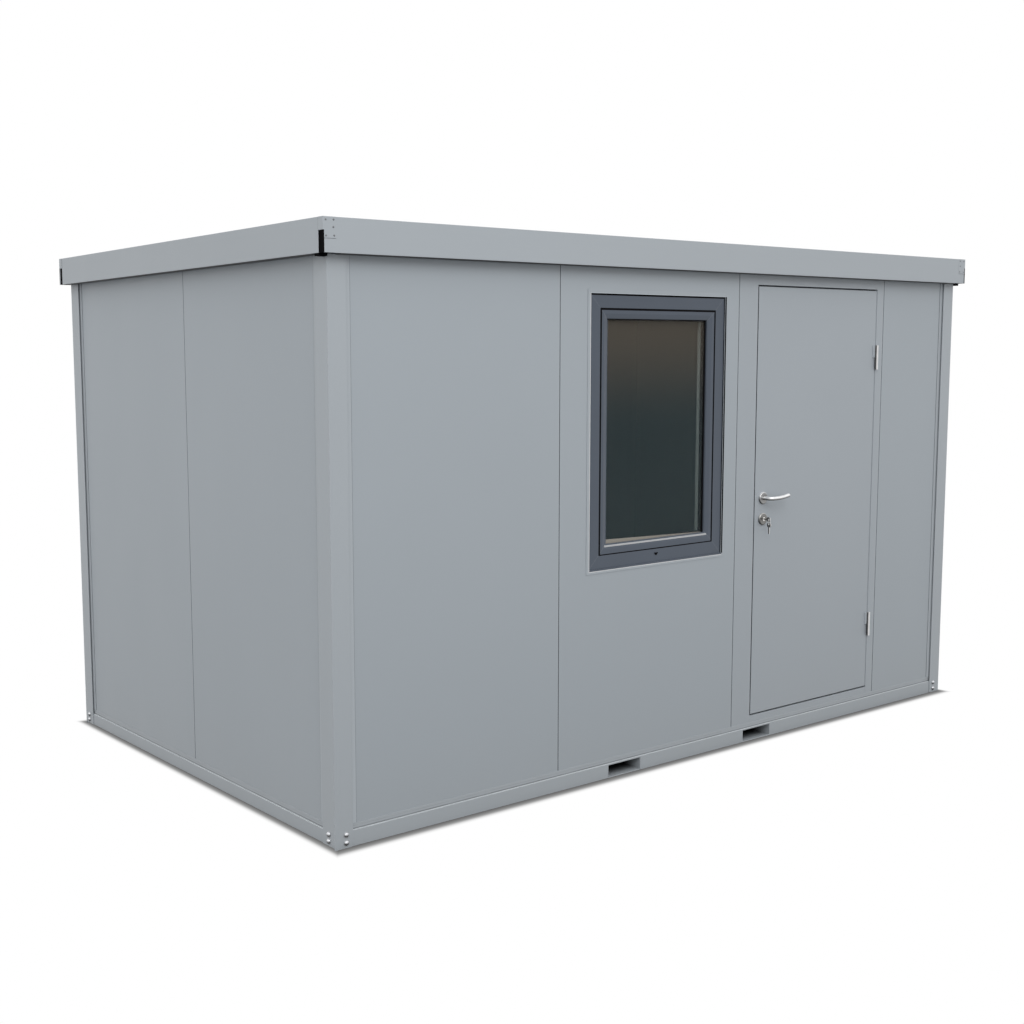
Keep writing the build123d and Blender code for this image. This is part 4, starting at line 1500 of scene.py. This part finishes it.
@dataclass
class DoorSet:
    """What the door carries and closes on: seals, lock edge, roses and lever."""

    palette: Palette
    seal_gap: float = 0.6 * MM
    seal_width: float = 10 * MM
    seal_overlap: float = 6 * MM
    seal_depth: float = 5.0 * MM
    seal_bevel: float = 1.5 * MM
    band_depth: float = 0.5 * MM
    band_inset: float = 1.6 * MM
    band_bevel: float = 0.15 * MM
    cover_width: float = 4.5 * MM
    cover_sunk: float = 2.0 * MM
    cover_depth: float = 8.0 * MM
    cover_bevel: float = 0.4 * MM
    plate_half: float = 10 * MM
    plate_sheet: float = 1.2 * MM
    plate_bevel: float = 0.4 * MM
    plate_below: float = 55 * MM
    plate_above: float = 35 * MM
    latch_half: Pair = (6 * MM, 14 * MM)
    latch_reach: Pair = (0.5 * MM, 4.0 * MM)
    latch_bevel: float = 1.2 * MM
    rose_rim: float = 3.5 * MM
    rose_play: float = 0.5 * MM
    rose_edge: float = 0.6 * MM
    rose_inset: float = 0.1 * MM
    rose_sides: int = 48
    lever_radius: float = 9.0 * MM
    lever_bend: float = 22.0 * MM
    lever_rise: float = 8.4 * MM
    lever_return: float = 5.3 * MM
    lever_tip: float = 6.0 * MM
    lever_sides: int = 28
    bend_steps: int = 12
    grip_steps: int = 16
    tip_steps: tuple[Pair, ...] = ((0.45, 0.90), (0.33, 0.74), (0.22, 0.50))
    spindle: float = 8.0 * MM
    inside_box: float = 0.3 * MM

    def build(self) -> None:
        """Make the door's pieces."""
        self.leaf_low, self.leaf_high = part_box("door_leaf")
        self.seal()
        self.edge_shade_band()
        self.hinge_cover()
        self.lock_edge()
        self.roses("lever_roses", self.lever_radius + self.rose_play, Slot.SATIN)
        cylinder_low, cylinder_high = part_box("lock_cylinder")
        bore = (cylinder_high.x - cylinder_low.x) / 2 + self.rose_play
        self.roses("lock_roses", bore, Extra.WORN)
        self.lever()

    def seal(self) -> None:
        """The rubber seal on the stop, all round behind the leaf."""
        low, high = self.leaf_low, self.leaf_high
        front = high.y + self.seal_gap
        out = self.seal_width - self.seal_overlap
        shape = Shape()
        shape.hoop(
            Vector((low.x - out, front, low.z - out)),
            Vector((high.x + out, front + self.seal_depth, high.z + out)),
            self.seal_width,
            self.seal_bevel,
        )
        shape.finish("door_seal", Body.CABIN, self.palette[Extra.RUBBER], Slot.DRAIN)

    def edge_shade_band(self) -> None:
        """The black band along the leaf's lock edge: painted shade for the gap on the lock side."""
        low, high, inset = self.leaf_low, self.leaf_high, self.band_inset
        first = (low.x - self.band_depth, low.y + inset, low.z + inset)
        shape = Shape().box(first, (low.x, high.y - inset, high.z - inset), self.band_bevel)
        shape.finish("leaf_edge_shade_band", Body.DOOR, self.palette[Extra.RUBBER], Slot.DRAIN)

    def hinge_cover(self) -> None:
        """The painted cover strip on the jamb in the gap on the hinge side."""
        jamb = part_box("door_head")[1].x
        front = self.leaf_low.y + self.cover_sunk
        first = (jamb - self.cover_width, front, self.leaf_low.z)
        shape = Shape().box(first, (jamb, front + self.cover_depth, self.leaf_high.z), self.cover_bevel)
        shape.finish("hinge_side_cover", Body.CABIN, self.palette[Slot.DOOR], Slot.DOOR)

    def lock_edge(self) -> None:
        """The lock's face plate and latch on the leaf's edge."""
        edge = self.leaf_low.x
        rose_low, rose_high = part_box("lever_roses")
        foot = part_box("lock_roses")[0].z - self.plate_below
        middle = (self.leaf_low.y + self.leaf_high.y) / 2
        half = self.plate_half
        shape = Shape().box(
            (edge - self.plate_sheet, middle - half, foot),
            (edge, middle + half, rose_high.z + self.plate_above),
            self.plate_bevel,
        )
        height = (rose_low.z + rose_high.z) / 2
        across, up = self.latch_half
        near, far = self.latch_reach
        shape.box(
            (edge - far, middle - across, height - up),
            (edge - near, middle + across, height + up),
            self.latch_bevel,
        )
        shape.finish("lock_face_plate", Body.DOOR, self.palette[Extra.ZINC], Slot.SATIN)

    def roses(self, node: str, bore: float, finish: Union[Slot, Extra]) -> None:
        """Two turned roses with rounded rims, one on each face of the leaf.

        Args:
            node: The CAD node that they stand for.
            bore: The radius of their hole.
            finish: What they are dressed in.
        """
        low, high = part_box(node)
        radius = (high.x - low.x) / 2 - self.rose_inset
        height = self.leaf_low.y - low.y - self.rose_inset
        inner, top, edge = radius - self.rose_rim, height - self.rose_rim, self.rose_edge
        rim = [
            (inner + self.rose_rim * math.cos(angle), top + self.rose_rim * math.sin(angle))
            for angle in angles(90, 15)
        ]
        profile = [(bore, 0.0), (radius, 0.0), *rim, (bore + edge, height), (bore, height - edge)]
        shape = Shape()
        for outwards, face in ((-1, self.leaf_low.y), (1, self.leaf_high.y)):
            centre = Vector(((low.x + high.x) / 2, face, (low.z + high.z) / 2))
            shape.turned(profile, centre, Vector((0, outwards, 0)), self.rose_sides)
        shape.finish(f"turned_{node}", Body.DOOR, self.palette[finish], Slot.SATIN, node)

    def lever(self) -> None:
        """The bent round lever on both faces of the leaf, on one square spindle."""
        low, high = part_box("lever_handle")
        rose_low, rose_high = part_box("lever_roses")
        axis = (rose_low + rose_high) / 2
        half = Vector((self.spindle / 2, 0, self.spindle / 2))
        front = Vector((axis.x, self.leaf_low.y, axis.z))
        back = Vector((axis.x, self.leaf_high.y, axis.z))
        shape = Shape().box(front - half, back + half)
        reach = high.x - self.inside_box - self.lever_tip - axis.x - self.lever_bend
        for outwards, seat, limit in ((-1, front, low.y), (1, back, high.y)):
            grip = limit - outwards * (self.inside_box + self.lever_radius)
            self._arm(shape, seat, grip, outwards, reach)
        shape.weld()
        shape.finish("bent_lever", Body.LEVER, self.palette[Extra.LEVER], Slot.SATIN, "lever_handle")

    def _arm(self, shape: Shape, seat: Vector, grip: float, outwards: int, reach: float) -> None:
        """Run one round arm from the leaf: neck, bend, curved grip and domed tip.

        Args:
            shape: The mesh that it goes into.
            seat: Where its neck leaves the leaf.
            grip: The Y of the grip's start.
            outwards: The sign of Y away from the leaf.
            reach: The grip's length along X.
        """
        away = Vector((0, outwards, 0))
        ring = shape.circle(seat + away * self.inside_box, away, self.lever_radius, self.lever_sides)
        neck = abs(grip - seat.y) - self.inside_box - self.lever_bend
        ring = shape.push(ring, away * neck)
        turn_at = Vector((seat.x + self.lever_bend, grip - outwards * self.lever_bend, seat.z))
        ring = shape.bend(ring, turn_at, UP, -outwards * math.pi / 2, self.bend_steps)
        lean = Vector((0, -outwards * self.lever_return, self.lever_rise))
        curve = (reach**2 + lean.length**2) / (2 * lean.length)
        angle = math.asin(reach / curve)
        towards = lean.normalized()
        start = Vector((turn_at.x, grip, seat.z))
        middle = start + towards * curve
        ring = shape.bend(ring, middle, ALONG.cross(towards), angle, self.grip_steps)
        ahead = ALONG * math.cos(angle) + towards * math.sin(angle)
        for share, scale in self.tip_steps:
            ring = shape.push(ring, ahead * (share * self.lever_tip), scale)


@dataclass
class WindowSet:
    """The window's joints and seals, its glazing bead and its drain cap."""

    places: Places
    palette: Palette
    trim_face: float = 17 * MM
    joint_shows: tuple[float, float, float] = (1 * MM, 4 * MM, 7 * MM)
    joint_proud: float = 1.5 * MM
    lip_lap: float = 7 * MM
    lip_sheet: float = 0.4 * MM
    sill_lap: float = 5.5 * MM
    sill_bevel: float = 0.2 * MM
    caulk: float = 3.5 * MM
    sash_rebate: float = 10 * MM
    sash_gap: float = 6 * MM
    sash_depth: float = 8 * MM
    sash_laps: tuple[float, float, float] = (1.5 * MM, 0.8 * MM, 1.3 * MM)
    sash_foot: Pair = (-3.5 * MM, 1.0 * MM)
    gasket: float = 3 * MM
    gasket_touch: float = 0.2 * MM
    gasket_bevel: float = 0.5 * MM
    gasket_right: float = 7.5 * MM
    gasket_deep: float = 9.5 * MM
    gasket_shallow: float = 3 * MM
    rebate: float = 5 * MM
    bead_height: float = 8 * MM
    bead_drop: float = 13 * MM
    bead_end: float = 8 * MM
    bead_span: Pair = (1 * MM, 8 * MM)
    bead_bevel: float = 1.5 * MM
    drain_along: float = 1709 * MM
    drain_height: float = 953.5 * MM
    drain_half: Pair = (12 * MM, 5.5 * MM)
    drain_sheet: float = 3 * MM
    drain_taper: float = 0.25
    drain_bevel: float = 0.8 * MM

    def build(self) -> None:
        """Make the window's pieces."""
        self.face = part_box("window_frame")[0].y
        self.trim_joint()
        self.sash_seal()
        self.gaskets()
        self.glazing_bead()
        self.drain_cap()

    def trim_joint(self) -> None:
        """The black joint between trim and frame, the frame's sill, and the caulk along both."""
        rubber, plastic, white = (self.palette[key] for key in (Extra.RUBBER, Slot.PLASTIC, Extra.CAULK))
        trim_low, trim_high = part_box("window_trim")
        inset = Vector((self.trim_face, 0, self.trim_face))
        low, high, face = trim_low + inset, trim_high - inset, self.face
        front, back, lip = face - self.joint_proud, trim_low.y, trim_low.y - self.lip_sheet
        left, right, top = low.x + self.joint_shows[0], high.x - self.joint_shows[1], self.joint_shows[2]
        joint = Shape()
        joint.box((low.x, front, low.z), (left, face, high.z))
        joint.box((right, front, low.z), (high.x, face, high.z))
        joint.box((high.x - MM, lip, low.z), (high.x + self.lip_lap, back, high.z))
        joint.box((left, front, high.z - top), (right, face, high.z))
        joint.finish("trim_joint", Body.CABIN, rubber, Slot.DRAIN)
        foot = low.z - self.sill_lap
        sill = Shape().box((low.x, lip, foot), (high.x + MM, face, low.z + MM), self.sill_bevel)
        sill.finish("frame_sill", Body.CABIN, plastic, Slot.PLASTIC)
        caulk = Shape().box((low.x, lip, foot - self.caulk), (high.x, back, foot))
        caulk.box((low.x - self.caulk, lip, foot - self.caulk), (low.x, back, high.z))
        caulk.finish("frame_caulk", Body.CABIN, white, Slot.TRIM)

    def sash_seal(self) -> None:
        """The black lip seal in the gap between frame and sash, and the rail below it."""
        sash_low, sash_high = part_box("window_sash")
        out = self.sash_rebate - self.sash_gap
        low, high = sash_low + Vector((out, 0, out)), sash_high - Vector((out, 0, out))
        front, back, gap = self.face - self.lip_sheet, self.face + self.sash_depth, self.sash_gap
        left_lap, right_lap, top_lap = self.sash_laps
        left, right, top = low.x + gap + left_lap, high.x - gap - right_lap, high.z + top_lap
        foot, rise = (low.z + height for height in self.sash_foot)
        seal = Shape()
        seal.box((low.x - left_lap, front, foot), (left, back, top))
        seal.box((right, front, foot), (high.x + right_lap, back, top))
        seal.box((left, front, high.z - gap - top_lap), (right, back, top))
        seal.box((left, front, foot), (right, back, rise))
        rail = Shape().box((left, self.face + self.lip_sheet, rise), (right, back, low.z + gap + MM))
        rail.finish("sash_foot_rail", Body.CABIN, self.palette[Slot.PLASTIC], Slot.PLASTIC)
        seal.finish("sash_seal", Body.CABIN, self.palette[Extra.RUBBER], Slot.DRAIN)

    def gaskets(self) -> None:
        """The gaskets round the glass, the deep rebates beside them, and a gasket inside."""
        low, high = self.places.pane()
        back = low.y - self.gasket_touch
        deep, shallow = low.y - self.gasket_deep, low.y - self.gasket_shallow
        edge, top = high.x - self.rebate, high.z - self.gasket
        right = edge - self.gasket_right
        gasket = Shape().box((right, shallow, low.z), (edge, back, high.z))
        gasket.box((low.x, deep, top), (right, back, high.z))
        rebates = Shape().box((edge, deep, low.z), (high.x, back, high.z))
        rebates.box((low.x, deep, low.z), (low.x + self.rebate, back, top))
        rebates.finish("sash_rebates", Body.CABIN, self.palette[Slot.PLASTIC], Slot.PLASTIC)
        inner_low = Vector((low.x, high.y + self.gasket_touch, low.z))
        inner_high = Vector((high.x, high.y + self.gasket_shallow, high.z))
        gasket.hoop(inner_low, inner_high, self.gasket, self.gasket_bevel)
        gasket.finish("glass_gaskets", Body.CABIN, self.palette[Extra.RUBBER], Slot.DRAIN)

    def glazing_bead(self) -> None:
        """The pale bead along the foot of the glass."""
        low, high = self.places.pane()
        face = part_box("window_sash")[0].y
        near, far = (face + depth for depth in self.bead_span)
        foot, end = low.z - self.bead_drop, self.bead_end
        head = foot + self.bead_height
        shape = Shape().box((low.x - end, near, foot), (high.x + end, far, head), self.bead_bevel)
        shape.finish("glazing_bead", Body.CABIN, self.palette[Extra.BEAD], Slot.TRIM)

    def drain_cap(self) -> None:
        """The small cap over the drain slot in the foot of the frame, narrow at its foot."""
        spot = Vector((self.drain_along - self.places.half_length, self.face, self.drain_height))
        half = Vector((self.drain_half[0], 0, self.drain_half[1]))
        shape = Shape().box(spot - half - Vector((0, self.drain_sheet, 0)), spot + half)
        narrow = [v for v in shape.bm.verts if v.co.z < spot.z]
        place = Matrix.Translation(-spot)
        bmesh.ops.scale(shape.bm, vec=(self.drain_taper, 1, 1), space=place, verts=narrow)
        shape.bevel(shape.bm.verts[:], self.drain_bevel)
        shape.finish("drain_cap", Body.CABIN, self.palette[Extra.RUBBER], Slot.DRAIN)


# Studio


@dataclass
class Studio:
    """The pale floor, the soft light and the camera."""

    places: Places
    photo_size: float = 1024.0
    focal_pixels: float = 1345.79
    principal: Pair = (411.97, 514.00)
    camera_place: Point = (-4.5997, -5.1640, 1.8080)
    camera_right: Point = (0.801150, -0.598416, -0.007545)
    camera_down: Point = (-0.074355, -0.087019, -0.993428)
    sensor: float = 36.0
    far_clip: float = 200.0
    floor_size: float = 60.0
    floor_bounce: float = 0.27
    shadow_reach: float = 69 * MM
    end_shadow_lead: float = 21 * MM
    end_shadow_scale: float = 1.27
    shadow: Tones = (
        (0.0, 0.14),
        (0.2, 0.20),
        (0.4, 0.30),
        (0.5, 0.42),
        (0.6, 0.60),
        (0.7, 0.76),
        (0.8, 0.88),
        (0.92, 0.98),
        (1.0, 1.0),
    )
    white: tuple[float, ...] = (1.0, 1.0, 1.0, 1.0)
    sky_zenith: float = 1.50
    sky_horizon: float = 0.93
    key_energy: float = 205.0
    key_size: float = 5.0
    key_place: Point = (-4.0, -6.8, 6.5)
    key_aim: Point = (0.0, 0.0, 1.2)

    def build(self) -> None:
        """Make the floor, the world, the lamp and the camera."""
        self.floor()
        self.world()
        self.key_light()
        self.camera()
        bpy.context.scene.view_settings.view_transform = "Standard"

    @staticmethod
    def seen(graph: Graph) -> Field:
        """Tell the rays that show the background from those that only light the cabin.

        Args:
            graph: The node graph of the floor or the world.

        Returns:
            1 for rays straight from the camera, mirrored or through glass; else 0.
        """
        names = ("Is Camera Ray", "Is Glossy Ray", "Is Transmission Ray")
        straight, mirrored, through = (graph.node("ShaderNodeLightPath", output=name) for name in names)
        return graph.math("MAXIMUM", graph.math("MAXIMUM", straight, mirrored), through)

    def floor(self) -> None:
        """A white floor that keeps a soft shadow close to the cabin, narrower at its ends."""
        shape = bmesh.new()
        bmesh.ops.create_grid(shape, x_segments=1, y_segments=1, size=self.floor_size / 2)
        mesh = bpy.data.meshes.new("studio_floor")
        shape.to_mesh(mesh)
        shape.free()
        made = bpy.data.objects.new("studio_floor", mesh)
        bpy.context.scene.collection.objects.link(made)
        material = bpy.data.materials.new("studio floor")
        material.use_nodes = True
        graph = Graph(material.node_tree)
        spot = graph.place()
        ahead = abs(spot.y) - self.places.half_depth
        beside = (abs(spot.x) - self.places.half_length) * self.end_shadow_scale + self.end_shadow_lead
        away = graph.math("MAXIMUM", ahead, beside)
        lit = graph.greys(away * (1 / self.shadow_reach), self.shadow)
        shown = graph.node("ShaderNodeEmission", None, {"Color": lit, "Strength": 1.0})
        bounce = (self.floor_bounce,) * 3
        matt = graph.node("ShaderNodeBsdfDiffuse", None, {"Color": (*bounce, 1.0)})
        surface = graph.node("ShaderNodeMixShader", None, {0: self.seen(graph), 1: matt, 2: shown})
        graph.node("ShaderNodeOutputMaterial", None, {"Surface": surface})
        mesh.materials.append(material)

    def world(self) -> None:
        """A soft sky, brighter overhead, behind a white background."""
        world = bpy.data.worlds.new("studio")
        bpy.context.scene.world = world
        world.use_nodes = True
        graph = Graph(world.node_tree)
        up = graph.parts(graph.node("ShaderNodeTexCoord", output="Generated"))[2]
        strength = self.sky_horizon + up.smooth(0.0, 1.0) * (self.sky_zenith - self.sky_horizon)
        sky = graph.node("ShaderNodeBackground", None, {"Color": self.white, "Strength": strength})
        plain = graph.node("ShaderNodeBackground", None, {"Color": self.white, "Strength": 1.0})
        surface = graph.node("ShaderNodeMixShader", None, {0: self.seen(graph), 1: sky, 2: plain})
        graph.node("ShaderNodeOutputWorld", None, {"Surface": surface})

    def key_light(self) -> None:
        """One large soft lamp, high on the side of the near corner."""
        lamp = bpy.data.lights.new("key", "AREA")
        lamp.shape = "DISK"
        lamp.size = self.key_size
        lamp.energy = self.key_energy
        made = bpy.data.objects.new("key", lamp)
        made.location = self.key_place
        aim = Vector(self.key_aim) - Vector(self.key_place)
        made.rotation_euler = aim.to_track_quat("-Z", "Y").to_euler()
        bpy.context.scene.collection.objects.link(made)

    def camera(self) -> None:
        """The camera fitted to the photograph's straight edges."""
        lens = bpy.data.cameras.new("photo view")
        lens.sensor_width = self.sensor
        lens.lens = self.focal_pixels * self.sensor / self.photo_size
        lens.shift_x = (self.photo_size / 2 - self.principal[0]) / self.photo_size
        lens.shift_y = (self.principal[1] - self.photo_size / 2) / self.photo_size
        lens.clip_end = self.far_clip
        right = Vector(self.camera_right).normalized()
        back = right.cross(-Vector(self.camera_down)).normalized()
        upwards = back.cross(right)
        turn = Matrix((right, upwards, back)).transposed().to_4x4()
        made = bpy.data.objects.new("photo view", lens)
        made.matrix_world = Matrix.Translation(Vector(self.camera_place)) @ turn
        bpy.context.scene.collection.objects.link(made)
        bpy.context.scene.camera = made


def main() -> None:
    """Load the frame, dress it, add the small pieces and set the studio."""
    logging.basicConfig(level=logging.INFO, format="%(name)s: %(message)s")
    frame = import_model()
    places = Places.from_frame()
    palette = Palette(places)
    palette.build()
    Shell(palette).dress(frame["nodes"])
    Fasteners(places, palette, frame["nodes"]).build()
    Seals(places, palette).build()
    DoorSet(palette).build()
    WindowSet(places, palette).build()
    Studio(places).build()


if __name__ == "__main__":
    main()
